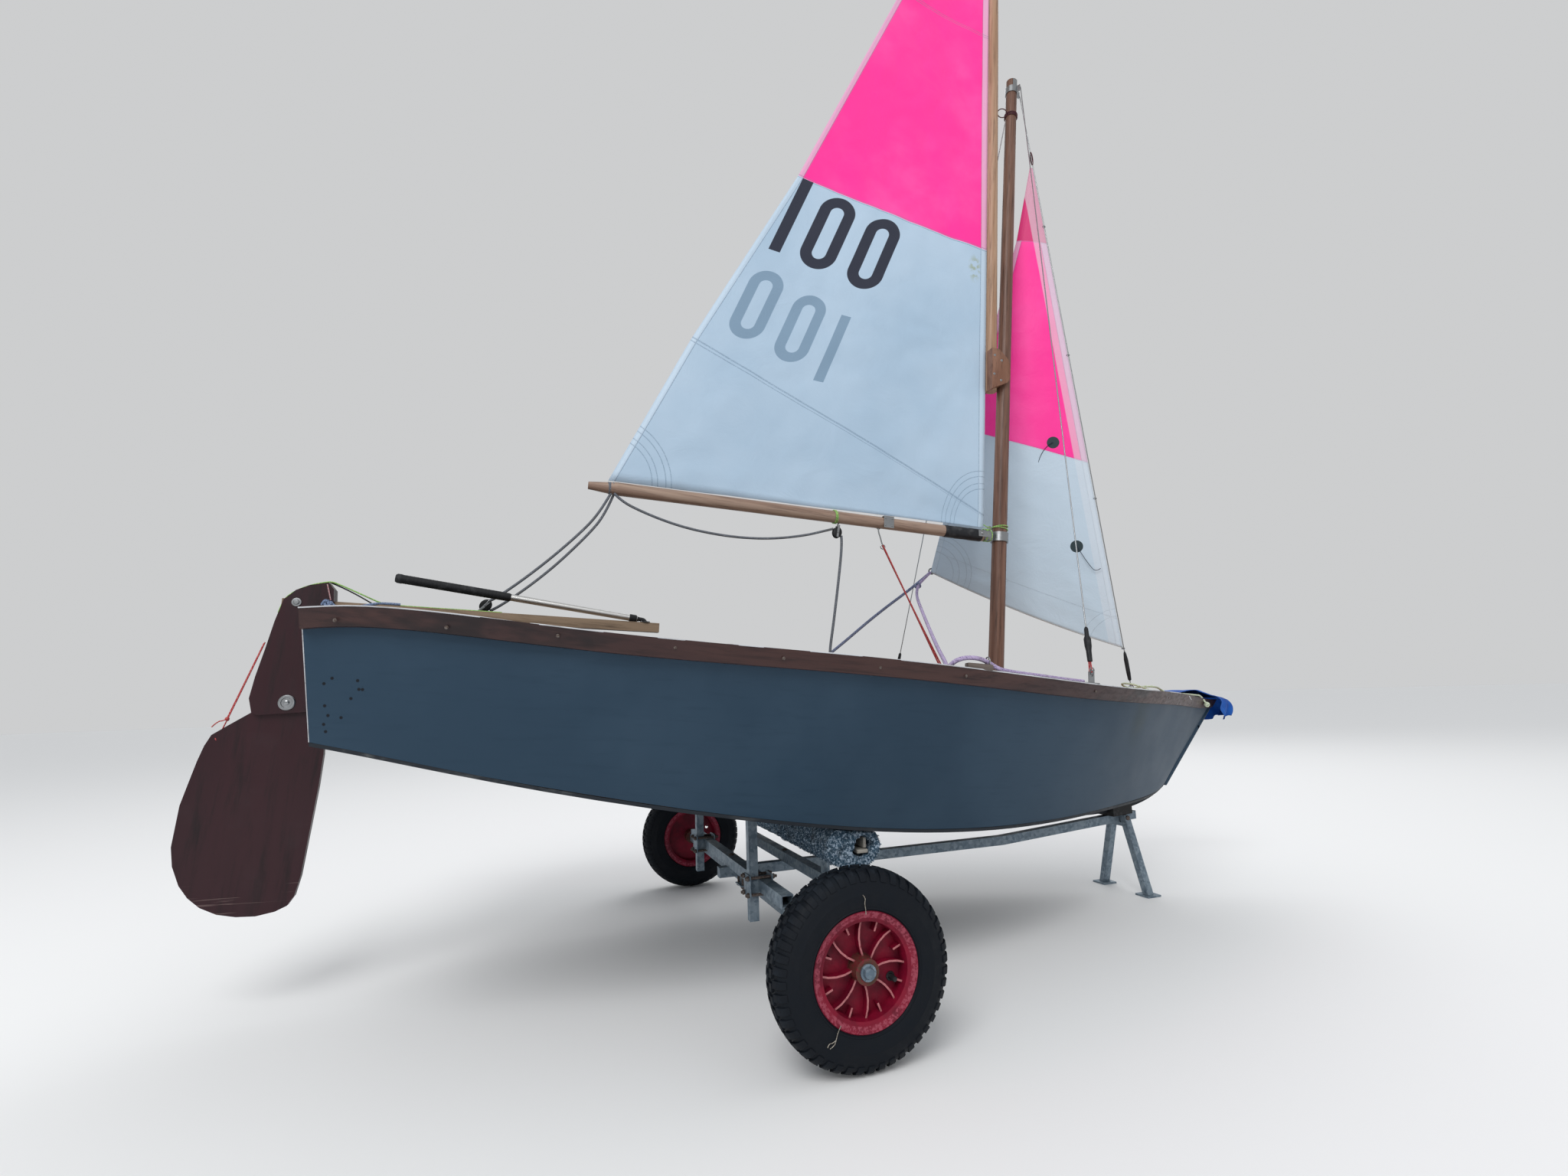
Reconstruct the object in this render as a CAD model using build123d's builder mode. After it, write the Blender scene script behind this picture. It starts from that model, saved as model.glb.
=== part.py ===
import os
from math import atan2, cos, degrees, hypot, radians, sin, tan

from build123d import *

os.makedirs("parts", exist_ok=True)

# A hard-chine plywood sailing dinghy with a gunter rig, parked on its launching trolley.
# +X is forward, +Y is to port and +Z is up. All sizes are in millimetres. The origin is on the
# floor, under the middle of the whole.

# Where the boat sits on the trolley
AXLE_X = -292.9
SEAT_AFT = 1110.0
SEAT_HEIGHT = 974.0
BOW_DOWN = 5.14

# Hull
HULL_LENGTH = 3145.0
HALF_BEAM = 700.0
HULL_DEPTH = 446.0
VEE_DEPTH = 34.0
PLY = 9.0
GLUE_GAP = 0.8
OUTSIDE_GAP = 0.7
STRAKE_WIDTH = 22.0
STRAKE_DEPTH = 42.0
KEEL_WIDTH = 32.0
KEEL_DEPTH = 20.0
TRANSOM_THICK = 14.0
STEM_THICK = 18.0
STEM_HALF = 14.0
BOW_EYE_RADIUS = 6.0
BOW_EYE_DROP = 140.0
DECK_DROP = 27.0
DECK_THICK = 8.0
DECK_TILT = 1.2
DECK_AFT = 1745.0
DECK_HOLLOW = 520.0
DECK_HOLLOW_DEEP = 100.0
BULKHEAD_INSIDE = 205.0
BULKHEAD_HOLE = 190.0
HOLE_CORNER = 60.0
BENCH_HEIGHT = 190.0
BENCH_INNER = 330.0
BENCH_AFT = 66.0
THWART_X = 1250.0
THWART_WIDTH = 200.0
THWART_THICK = 18.0
CASE_AFT = 1200.0
CASE_LENGTH = 520.0
CASE_WIDTH = 46.0
CASE_SLOT = 22.0
SEAT_GAP = 0.3

# Spars, standing rigging and sails
MAST_X = 2096.0
MAST_RAKE = 1.8
MAST_LENGTH = 2630.0
MAST_FOOT_DIA = 58.0
MAST_HEAD_DIA = 46.0
MAST_CROWN = 8.0
STEP_HEIGHT = 60.0
PARTNER_THICK = 14.0
PARTNER_LENGTH = 170.0
PARTNER_WIDTH = 130.0
PARTNER_CORNER = 30.0
BAND_UP = 2556.0
BAND_HEIGHT = 30.0
WIRE_DIA = 4.0
STAY_FOOT_X = 2735.0
PLATE_X = 1995.0
PLATE_HALF = 603.0
BOOM_UP = 556.0
BOOM_DROP = 3.0
BOOM_LENGTH = 1460.0
BOOM_DIA = 43.0
BOOM_TAPER = 90.0
BOOM_TIP_DIA = 24.0
BOOM_START = 78.0
COLLAR_HEIGHT = 36.0
COLLAR_WALL = 5.0
RUN_GAP = 2.0
YARD_FOOT_UP = 1149.0
YARD_LENGTH = 2660.0
YARD_DIA = 44.0
YARD_HEAD_DIA = 32.0
YARD_TAPER_UP = 1600.0
YARD_BACK = 58.0
YARD_LEAN = 1.5
JAW_HEIGHT = 172.0
JAW_LENGTH = 84.0
JAW_THICK = 12.0
JAW_DROP = 6.0
# The jaws' side outline, from the after foot. Columns: share of length, share of height
JAW_EDGE = [(0, 0), (0.84, 0.22), (1, 0.34), (1, 0.66), (0.88, 0.80), (0.40, 1), (0, 1)]
SAIL_THICK = 3.0
TACK_BACK = 72.0
CLEW_BACK = 1480.0
HEAD_INSET = 30.0
JIB_HEAD_UP = 2236.0
JIB_TACK_UP = 160.0
JIB_CLEW = (-62.0, 400.0, 480.0)
# The mainsail's leech, from the clew up. Columns: behind the mast's axis, up the mast
MAINSAIL_LEECH = [(1250, 1096), (935, 1815), (578, 2786)]

# Rudder
PINTLE_GAP = 42.0
PINTLE_DIA = 10.0
PINTLE_RUN = 0.1
EYE_DIA = 22.0
EYE_HEIGHT = 14.0
EYE_LEVELS = (-40.0, -220.0)
STRAP_WIDTH = 14.0
PAD_WIDTH = 80.0
PAD_THICK = 4.0
STOCK_HEIGHT = 352.0
STOCK_LENGTH = 190.0
STOCK_THICK = 44.0
STOCK_TOP = 139.0
CHEEK_GAP = 21.0
CHEEK_HEIGHT = 198.0
BLADE_THICK = 18.0
BLADE_REACH = 534.0
BLADE_SWEEP = 244.0
BOLT_DIA = 10.0
BOLT_UP = -186.0
BOLT_AFT = 118.0
TILLER_BACK = 125.0
TILLER_UP = 80.0
TILLER_LENGTH = 1025.0
TILLER_WIDTH = 30.0
TILLER_DEPTH = 34.0
TILLER_RISE = 1.6
EXTENSION_DIA = 20.0
EXTENSION_LENGTH = 690.0
EXTENSION_BACK = 70.0
EXTENSION_LEAN = -84.0
# The stock's edge, from its front foot up. Columns: share of length aft, share of height down
STOCK_EDGE = [
    (0.000, 1.000),
    (0.000, 0.060),
    (0.070, 0.005),
    (0.300, 0.023),
    (0.472, 0.060),
    (0.620, 0.130),
    (0.725, 0.301),
    (0.830, 0.514),
    (0.935, 0.713),
    (1.000, 0.872),
    (0.967, 0.980),
    (0.900, 1.000),
]
# The blade's edge, round from its head. Columns: share of sweep aft of the bolt, share of reach
# below it
BLADE_EDGE = [
    (-0.287, 0.054),
    (-0.115, -0.075),
    (0.115, -0.075),
    (0.348, 0.037),
    (0.545, 0.090),
    (0.693, 0.131),
    (0.754, 0.182),
    (0.811, 0.253),
    (0.885, 0.363),
    (0.943, 0.451),
    (1.000, 0.637),
    (0.984, 0.725),
    (0.922, 0.816),
    (0.844, 0.876),
    (0.738, 0.927),
    (0.590, 0.968),
    (0.422, 0.991),
    (0.250, 1.000),
    (0.078, 0.991),
    (-0.029, 0.972),
    (-0.094, 0.931),
    (-0.148, 0.843),
    (-0.238, 0.594),
    (-0.299, 0.421),
    (-0.340, 0.268),
    (-0.344, 0.157),
]

# Launching trolley
WHEEL_DIA = 400.0
TYRE_WIDTH = 96.0
RIM_DIA = 236.0
HALF_TRACK = 825.0
HUB_LENGTH = 84.0
HUB_DIA = 52.0
HUB_RUN = 0.05
FLANGE_HALF = 42.0
WELL_HALF = 30.0
WELL_DEPTH = 14.3
WELL_WALL = 8.0
WEB_THICK = 8.0
RIB_COUNT = 8
RIB_THICK = 4.0
RIB_HEIGHT = 18.0
RIB_BOW = 7.0
# A long rib's middle line. Columns: share of its length, share of its bow
RIB_CURVE = [(0, 0), (0.25, 0.75), (0.5, 1), (0.75, 0.75), (1, 0)]
SHORT_RIB = 20.0
VALVE_HOLE = 14.0
VALVE_RADIUS = 74.0
STUB_DIA = 20.0
AXLE_SIZE = 26.0
TONGUE_SIZE = 30.0
TONGUE_AFT = -90.0
TONGUE_BEND = 950.0
TONGUE_PAST_CHOCK = 90.0
CROSS_SIZE = 32.0
CROSS_X = -47.0
CROSS_LENGTH = 1040.0
PROP_SIZE = 25.0
PROP_HALF = 320.0
PROP_FOOT = 168.0
BEAM_X = 130.0
BEAM_LENGTH = 760.0
STUB_HALF = 340.0
BOLSTER_LENGTH = 1090.0
BOLSTER_WIDE = 150.0
BOLSTER_HIGH = 104.0
BOLSTER_UP = 378.0
CHOCK_AFT = 514.0
CHOCK_LENGTH = 90.0
CHOCK_WIDTH = 90.0
CHOCK_HEIGHT = 12.0
CHOCK_HORN = 80.0
LEG_PAST_CHOCK = 20.0
LEG_SIZE = 26.0
LEG_SPREAD = 120.0
FOOT_SIZE = 60.0
FOOT_THICK = 6.0

# Hull stations as shares of length, half beam and depth. Columns: sheer along, sheer half
# breadth, sheer sag, chine along, chine half breadth, chine depth, share of the vee
STATIONS = [
    (0.000, 0.800, 0.000, 0.011, 0.686, 0.614, 0.3),
    (0.143, 0.926, 0.000, 0.143, 0.766, 0.765, 0.7),
    (0.302, 1.000, 0.031, 0.299, 0.806, 0.906, 0.9),
    (0.461, 0.988, 0.042, 0.458, 0.789, 0.982, 1.0),
    (0.620, 0.864, 0.062, 0.610, 0.660, 0.964, 1.2),
    (0.780, 0.580, 0.038, 0.760, 0.400, 0.892, 1.5),
    (0.900, 0.270, 0.018, 0.860, 0.170, 0.835, 1.2),
    (1.000, 0.021, 0.000, 0.918, 0.019, 0.724, 0.4),
]

# Cloth over the bow: half outline just outside the strakes. Columns: along, half breadth
CLOTH_DROP = 100.0
CLOTH_THICK = 14.0
CLOTH_PLAN = [(2880, 196), (3140, 50), (3188, 18)]

# The boat's own frame: origin at the transom's top, X along the sheer, Z square to it
boat_seat = Location((AXLE_X - SEAT_AFT, 0, SEAT_HEIGHT), (0, BOW_DOWN, 0))
# The mast's frame: origin where its axis meets the sheer plane, Z up the mast
mast_seat = boat_seat * Location((MAST_X, 0, 0), (0, MAST_RAKE, 0))


def on_boat(plane):
    return Plane(boat_seat * plane.location)


def on_mast(plane):
    return Plane(mast_seat * plane.location)


def station(row):
    """Canted plane of one hull station, with its sheer, chine and keel in that plane"""
    x_sheer, half_sheer, sag, x_chine, half_chine, depth, vee = row
    run = (x_sheer - x_chine) * HULL_LENGTH
    rise = (depth - sag) * HULL_DEPTH
    slant = hypot(run, rise)
    base = Plane(
        origin=(x_chine * HULL_LENGTH, 0, -depth * HULL_DEPTH),
        x_dir=(0, 1, 0),
        z_dir=(rise / slant, 0, -run / slant),
    )
    sheer = (half_sheer * HALF_BEAM, slant)
    chine = (half_chine * HALF_BEAM, 0)
    return on_boat(base), sheer, chine, vee * VEE_DEPTH


def hull_body(inset):
    """The solid inside the planking, drawn in by inset; a negative inset lies outside it"""
    with BuildPart() as body:
        for row in STATIONS:
            plane, sheer, chine, vee = station(row)
            floor_y = -PLY / 2 if inset > 0 else inset - PLY
            flare = (sheer[0] - chine[0]) / sheer[1]
            points = [
                (0, -vee + floor_y),
                (max(chine[0] - inset + min(flare * floor_y, 0), 1), floor_y),
                (max(sheer[0] - inset, 1), sheer[1]),
            ]
            with BuildSketch(plane):
                with BuildLine():
                    Polyline(*points, *[(-x, y) for x, y in reversed(points[1:])], close=True)
                make_face()
        loft()
    return body.part


def block(x_low, x_high, half_width, z_low, z_high):
    """A box in the boat's frame, centred on its middle plane"""
    with BuildPart(on_boat(Plane.XY.offset(z_low))) as box:
        with Locations(((x_low + x_high) / 2, 0)):
            Box(
                x_high - x_low,
                2 * half_width,
                z_high - z_low,
                align=(Align.CENTER, Align.CENTER, Align.MIN),
            )
    return box.part


def rod(start, end, diameter):
    """A straight round rod between two points"""
    start, end = Vector(*start), Vector(*end)
    with BuildPart() as bar:
        with BuildSketch(Plane(origin=start, z_dir=end - start)):
            Circle(diameter / 2)
        extrude(amount=(end - start).length)
    return bar.part


def at_mast(x, y, z):
    return (mast_seat * Location((x, y, z))).position


def at_boat(x, y, z):
    return (boat_seat * Location((x, y, z))).position


def mast_radius(up):
    share = up / MAST_LENGTH
    return (MAST_FOOT_DIA + share * (MAST_HEAD_DIA - MAST_FOOT_DIA)) / 2


def bottom_half(side, grow):
    """Half the bottom planking, thicker by grow on every face"""
    with BuildPart() as half:
        for row in STATIONS:
            plane, sheer, chine, vee = station(row)
            with BuildSketch(plane):
                with BuildLine():
                    Polyline(
                        (side * (chine[0] + grow), grow - GLUE_GAP),
                        (side * (GLUE_GAP / 2 - 2 * grow), grow - GLUE_GAP - vee),
                        (side * (GLUE_GAP / 2 - 2 * grow), -PLY - vee - grow),
                        (side * (chine[0] + grow), -PLY - grow),
                        close=True,
                    )
                make_face()
        loft()
    return half.part


def off_bottom(piece):
    """A piece trimmed to sit on the bottom planking, or under it"""
    return (piece - bottom_port_clear) - bottom_starboard_clear


pieces = {}
hold = hull_body(PLY + SEAT_GAP)
bottom_port_clear = bottom_half(1, SEAT_GAP)
bottom_starboard_clear = bottom_half(-1, SEAT_GAP)
hull_clear = hull_body(-OUTSIDE_GAP)

# The centreboard's way through the bottom
with BuildPart() as board_slot:
    with BuildSketch(on_boat(Plane.XY)):
        with Locations((CASE_AFT + CASE_LENGTH / 2, 0)):
            Rectangle(CASE_LENGTH - CASE_WIDTH, CASE_SLOT)
    extrude(amount=-2 * HULL_DEPTH)

# Planking: side panels stand on the edges of the bottom panels and meet at the stem
for side, name in ((1, "port"), (-1, "starboard")):
    with BuildPart() as side_panel:
        for row in STATIONS:
            plane, sheer, chine, vee = station(row)
            with BuildSketch(plane):
                with BuildLine():
                    Polyline(
                        (side * chine[0], 0),
                        (side * sheer[0], sheer[1]),
                        (side * (sheer[0] - PLY), sheer[1]),
                        (side * (chine[0] - PLY), 0),
                        close=True,
                    )
                make_face()
        loft()
    pieces["side_panel_" + name] = off_bottom(side_panel.part)

    pieces["bottom_panel_" + name] = bottom_half(side, 0) - board_slot.part

    with BuildPart() as strake:
        for row in STATIONS:
            plane, sheer, chine, vee = station(row)
            flare = (sheer[0] - chine[0]) / sheer[1]
            low_y = side * (sheer[0] - flare * STRAKE_DEPTH)
            top_y = side * sheer[0]
            with BuildSketch(plane):
                with BuildLine():
                    Polyline(
                        (top_y, sheer[1]),
                        (top_y + side * STRAKE_WIDTH, sheer[1]),
                        (low_y + side * STRAKE_WIDTH, sheer[1] - STRAKE_DEPTH),
                        (low_y, sheer[1] - STRAKE_DEPTH),
                        close=True,
                    )
                make_face()
        loft()
    pieces["rubbing_strake_" + name] = strake.part - hull_clear

# Keel strip along the middle of the bottom, open at the centreboard slot
def keel_bar(grow):
    """The keel strip's outer form, larger by grow all round"""
    with BuildPart() as bar:
        for row in STATIONS:
            plane, sheer, chine, vee = station(row)
            low = -PLY - vee - KEEL_DEPTH - grow
            with BuildSketch(plane):
                with Locations((0, (low - vee - PLY / 2) / 2)):
                    Rectangle(KEEL_WIDTH + 2 * grow, -vee - PLY / 2 - low)
        loft()
    return bar.part


pieces["keel_strip"] = off_bottom(keel_bar(0)) - board_slot.part
keel_clear = keel_bar(OUTSIDE_GAP)

# Transom: one board inside the after ends of the planking
aft_plane, aft_sheer, aft_chine, aft_vee = station(STATIONS[0])
aft_flare = (aft_sheer[0] - aft_chine[0]) / aft_sheer[1]
with BuildPart() as transom:
    inner = PLY + SEAT_GAP
    with BuildSketch(aft_plane):
        with BuildLine():
            Polyline(
                (0, -PLY / 2 - aft_vee),
                (aft_chine[0] - inner - aft_flare * PLY / 2, -PLY / 2),
                (aft_sheer[0] - inner, aft_sheer[1]),
                (inner - aft_sheer[0], aft_sheer[1]),
                (inner - aft_chine[0] + aft_flare * PLY / 2, -PLY / 2),
                close=True,
            )
        make_face()
    extrude(amount=TRANSOM_THICK)
pieces["transom"] = off_bottom(transom.part)

# Stem: a rounded bar down the raked bow, drilled for the painter
bow_plane, bow_sheer, bow_chine, bow_vee = station(STATIONS[-1])
with BuildPart() as stem:
    with BuildSketch(bow_plane.offset(SEAT_GAP)):
        with Locations((0, (bow_sheer[1] - bow_vee - PLY) / 2)):
            Rectangle(2 * STEM_HALF, bow_sheer[1] + bow_vee + PLY)
    extrude(amount=STEM_THICK)
    nose = stem.faces().sort_by(Axis(bow_plane.origin, bow_plane.z_dir))[-1]
    fillet(nose.edges().filter_by(Axis(bow_plane.origin, bow_plane.y_dir)), STEM_HALF * 0.6)
    eye_plane = Plane(origin=bow_plane.origin, x_dir=bow_plane.z_dir, z_dir=bow_plane.x_dir)
    with BuildSketch(eye_plane):
        with Locations((STEM_THICK / 2, -(bow_sheer[1] - BOW_EYE_DROP))):
            Circle(BOW_EYE_RADIUS)
    extrude(amount=2 * STEM_HALF, both=True, mode=Mode.SUBTRACT)
pieces["stem"] = stem.part

# Foredeck: one ply sheet inside the side panels, its after edge hollowed in an arc
deck_plane = Plane(boat_seat * Location((PLATE_X, 0, -DECK_DROP), (0, -DECK_TILT, 0)))
with BuildPart() as deck_slab:
    with BuildSketch(deck_plane):
        with Locations(((DECK_AFT + HULL_LENGTH) / 2 - PLATE_X, 0)):
            Rectangle(HULL_LENGTH - DECK_AFT, 2 * HALF_BEAM)
        with Locations((DECK_AFT - PLATE_X + DECK_HOLLOW_DEEP - DECK_HOLLOW, 0)):
            Circle(DECK_HOLLOW, mode=Mode.SUBTRACT)
    extrude(amount=-DECK_THICK)
mast_hole = rod(
    at_mast(0, 0, -HULL_DEPTH / 2),
    at_mast(0, 0, HULL_DEPTH / 2),
    MAST_FOOT_DIA + 3,
)
foredeck = (deck_slab.part & hold) - mast_hole
pieces["foredeck"] = foredeck

# Bulkhead under the deck, just aft of the mast, with a rounded way through to the bow
bulkhead_x = DECK_AFT + BULKHEAD_INSIDE
with BuildPart() as bulkhead_cut:
    with BuildSketch(on_boat(Plane.YZ.offset(bulkhead_x - PLY))):
        with Locations((0, -HULL_DEPTH * 0.52)):
            RectangleRounded(2 * BULKHEAD_HOLE, BULKHEAD_HOLE, HOLE_CORNER)
    extrude(amount=3 * PLY)
deck_fall = (PLATE_X - bulkhead_x) * tan(radians(DECK_TILT))
under_deck = -DECK_DROP - DECK_THICK - deck_fall - SEAT_GAP
bulkhead = block(bulkhead_x, bulkhead_x + PLY, HALF_BEAM, -2 * HULL_DEPTH, under_deck) & hold
pieces["mast_bulkhead"] = off_bottom(bulkhead - bulkhead_cut.part)

# Side benches: closed buoyancy tanks from the transom to the bulkhead
bench_band = block(
    BENCH_AFT, bulkhead_x - SEAT_GAP, HALF_BEAM, -2 * HULL_DEPTH, -BENCH_HEIGHT
) & hold
for side, name in ((1, "port"), (-1, "starboard")):
    with BuildPart(on_boat(Plane.XY)) as bench_side:
        with Locations((HULL_LENGTH / 2, side * (BENCH_INNER + HALF_BEAM))):
            Box(HULL_LENGTH, 2 * HALF_BEAM, 4 * HULL_DEPTH)
    pieces["bench_" + name] = off_bottom(bench_band & bench_side.part)

# Thwart across the benches, and the centreboard case under it
thwart_low = -BENCH_HEIGHT + SEAT_GAP
pieces["thwart"] = (
    block(
        THWART_X, THWART_X + THWART_WIDTH, HALF_BEAM, thwart_low, thwart_low + THWART_THICK
    )
    & hold
)
case_outer = (
    block(CASE_AFT, CASE_AFT + CASE_LENGTH, CASE_WIDTH / 2, -2 * HULL_DEPTH, -BENCH_HEIGHT)
    & hold
)
pieces["centreboard_case"] = off_bottom(case_outer) - board_slot.part

# Mast step on the bottom, with a round socket, and the partner on the deck
step_box = block(MAST_X - 90, MAST_X + 60, 60, -2 * HULL_DEPTH, -HULL_DEPTH + STEP_HEIGHT) & hold
mast_foot = -HULL_DEPTH + STEP_HEIGHT / 2
socket = rod(
    at_mast(0, 0, mast_foot),
    at_mast(0, 0, 0),
    MAST_FOOT_DIA + 2 * SEAT_GAP,
)
pieces["mast_step"] = off_bottom(step_box) - socket
with BuildPart() as partner:
    with BuildSketch(deck_plane.offset(SEAT_GAP)):
        with Locations((MAST_X - PLATE_X, 0)):
            RectangleRounded(PARTNER_LENGTH, PARTNER_WIDTH, PARTNER_CORNER)
    extrude(amount=PARTNER_THICK)
partner_hole = rod(
    at_mast(0, 0, -HULL_DEPTH / 2),
    at_mast(0, 0, HULL_DEPTH / 2),
    MAST_FOOT_DIA + 2 * SEAT_GAP,
)
pieces["mast_partner"] = partner.part - partner_hole

# Mast: a round spar that tapers from the sheer up, with a rounded head
with BuildPart() as mast:
    with BuildSketch(on_mast(Plane.XZ)):
        with BuildLine():
            Polyline(
                (0, mast_foot + SEAT_GAP),
                (MAST_FOOT_DIA / 2, mast_foot + SEAT_GAP),
                (MAST_FOOT_DIA / 2, 0),
                (MAST_HEAD_DIA / 2, MAST_LENGTH - MAST_CROWN),
                (MAST_HEAD_DIA / 2 - MAST_CROWN, MAST_LENGTH),
                (0, MAST_LENGTH),
                close=True,
            )
        make_face()
    revolve(axis=Axis(mast_seat.position, on_mast(Plane.XY).z_dir))
pieces["mast"] = mast.part

# Hounds band near the masthead, with an ear for each shroud and one for the forestay
band_bore = mast_radius(BAND_UP) + SEAT_GAP
band_outer = band_bore + 3
ear_reach = band_outer + 14
with BuildPart() as hounds_band:
    with BuildSketch(on_mast(Plane.XY.offset(BAND_UP))):
        Circle(band_outer)
        for angle in (0, 65, -65):
            with Locations(Location((0, 0), angle)):
                with Locations((ear_reach / 2, 0)):
                    Rectangle(ear_reach, 5)
        Circle(band_bore, mode=Mode.SUBTRACT)
    extrude(amount=BAND_HEIGHT)
pieces["hounds_band"] = hounds_band.part

# Chainplates stand on the rubbing strakes, and the stemhead plate on the foredeck
plate_top = 34.0
plate_low = 1.2 - STATIONS[4][2] * HULL_DEPTH
with BuildPart() as chainplates:
    for side in (1, -1):
        with BuildPart(on_boat(Plane.XY.offset(plate_low)), mode=Mode.PRIVATE) as foot:
            with Locations((PLATE_X, side * PLATE_HALF)):
                Box(46, 16, 3, align=(Align.CENTER, Align.CENTER, Align.MIN))
                Box(20, 3, plate_top, align=(Align.CENTER, Align.CENTER, Align.MIN))
        add(foot.part)
pieces["chainplates"] = chainplates.part
with BuildPart(deck_plane.offset(SEAT_GAP)) as stemhead:
    with Locations((STAY_FOOT_X - PLATE_X, 0)):
        Box(60, 26, 3, align=(Align.CENTER, Align.CENTER, Align.MIN))
        Box(22, 3, 30, align=(Align.CENTER, Align.CENTER, Align.MIN))
pieces["stemhead_plate"] = stemhead.part

# Standing rigging: two shrouds and the forestay, from ear to plate
ear_tip = ear_reach + WIRE_DIA / 2 + SEAT_GAP
for side, name in ((1, "port"), (-1, "starboard")):
    angle = radians(65 * side)
    top = at_mast(ear_tip * cos(angle), ear_tip * sin(angle), BAND_UP + BAND_HEIGHT / 2)
    bottom = at_boat(PLATE_X, side * PLATE_HALF, plate_low + plate_top + 0.8)
    pieces["shroud_" + name] = rod(bottom, top, WIRE_DIA)
stay_low = at_boat(STAY_FOOT_X, 0, 20)
stay_high = at_mast(ear_tip, 0, BAND_UP + BAND_HEIGHT / 2)
pieces["forestay"] = rod(stay_low, stay_high, WIRE_DIA)

# Yard: a tapered round spar that stands close behind the mast
yard_seat = mast_seat * Location((-YARD_BACK, 0, YARD_FOOT_UP), (0, -YARD_LEAN, 0))
with BuildPart() as yard:
    with BuildSketch(Plane(yard_seat * Plane.XZ.location)):
        with BuildLine():
            Polyline(
                (0, 0),
                (YARD_DIA / 2, 0),
                (YARD_DIA / 2, YARD_TAPER_UP),
                (YARD_HEAD_DIA / 2, YARD_LENGTH),
                (0, YARD_LENGTH),
                close=True,
            )
        make_face()
    revolve(axis=Axis(yard_seat.position, Plane(yard_seat).z_dir))
pieces["yard"] = yard.part

# Jaws: two cheeks on the yard's heel that reach round the mast
cheek_in = mast_radius(YARD_FOOT_UP) + RUN_GAP
with BuildPart() as jaws:
    with BuildSketch(Plane(yard_seat).offset(-JAW_DROP)):
        with Locations((JAW_LENGTH / 2 - YARD_DIA / 2, 0)):
            Rectangle(JAW_LENGTH, 2 * (cheek_in + JAW_THICK))
        with Locations((YARD_BACK + JAW_LENGTH / 2, 0)):
            Rectangle(JAW_LENGTH, 2 * cheek_in, mode=Mode.SUBTRACT)
        with Locations((YARD_BACK, 0)):
            Circle(cheek_in + RUN_GAP, mode=Mode.SUBTRACT)
    extrude(amount=JAW_HEIGHT)
    with BuildSketch(Plane(yard_seat).offset(-SEAT_GAP)):
        Circle(YARD_DIA / 2 + SEAT_GAP)
    extrude(amount=JAW_HEIGHT * 2, mode=Mode.SUBTRACT)
    with BuildSketch(Plane(yard_seat * Plane.XZ.location)):
        with BuildLine():
            Polyline(
                *[
                    (along * JAW_LENGTH - YARD_DIA / 2, up * JAW_HEIGHT - JAW_DROP)
                    for along, up in JAW_EDGE
                ],
                close=True,
            )
        make_face()
    extrude(amount=JAW_LENGTH, both=True, mode=Mode.INTERSECT)
pieces["yard_jaws"] = jaws.part

# Gooseneck: a collar that turns on the mast, with a fork that takes the boom's end
boom_seat = mast_seat * Location((0, 0, BOOM_UP), (0, -BOOM_DROP, 0))
collar_bore = mast_radius(BOOM_UP) + 0.6
collar_low = BOOM_UP - COLLAR_HEIGHT / 2
with BuildPart() as gooseneck:
    with BuildSketch(on_mast(Plane.XY.offset(collar_low))):
        Circle(collar_bore + COLLAR_WALL)
        with Locations((-(BOOM_START + collar_bore) / 2, 0)):
            Rectangle(BOOM_START - collar_bore, 14)
        Circle(collar_bore, mode=Mode.SUBTRACT)
    extrude(amount=COLLAR_HEIGHT)
pieces["gooseneck"] = gooseneck.part

# Boom: a round spar aft of the gooseneck, tapered at its after end
boom_front = -BOOM_START - 1.25
with BuildPart() as boom:
    with BuildSketch(Plane(boom_seat * Plane.XZ.location)):
        with BuildLine():
            Polyline(
                (boom_front, 0),
                (boom_front, BOOM_DIA / 2),
                (boom_front - BOOM_LENGTH + BOOM_TAPER, BOOM_DIA / 2),
                (boom_front - BOOM_LENGTH, BOOM_TIP_DIA / 2),
                (boom_front - BOOM_LENGTH, 0),
                close=True,
            )
        make_face()
    revolve(axis=Axis(boom_seat.position, Plane(boom_seat).x_dir))
pieces["boom"] = boom.part

# Mainsail: a flat panel between boom and yard
lean = radians(YARD_LEAN)
yard_edge = YARD_BACK + YARD_DIA / 2 + SEAT_GAP + 0.4
foot_up = BOOM_UP + BOOM_DIA / 2 + 0.8
boom_slope = tan(radians(BOOM_DROP))
peak_up = YARD_LENGTH - HEAD_INSET
throat_up = JAW_HEIGHT + 12
mainsail_edge = [
    (TACK_BACK, foot_up - TACK_BACK * boom_slope + 8),
    (CLEW_BACK, foot_up - CLEW_BACK * boom_slope),
    *MAINSAIL_LEECH,
    (yard_edge + peak_up * sin(lean) + 14, YARD_FOOT_UP + peak_up),
    (yard_edge + (peak_up - HEAD_INSET) * sin(lean), YARD_FOOT_UP + peak_up - HEAD_INSET),
    (yard_edge + throat_up * sin(lean), YARD_FOOT_UP + throat_up),
]
with BuildPart() as mainsail:
    with BuildSketch(on_mast(Plane.XZ).offset(-SAIL_THICK / 2)):
        with BuildLine():
            Polyline(*[(-back, up) for back, up in mainsail_edge], close=True)
        make_face()
    extrude(amount=SAIL_THICK)
pieces["mainsail"] = mainsail.part

# Jib: a flat panel from the forestay to its clew, sheeted to port
low, high = Vector(*stay_low), Vector(*stay_high)


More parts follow.
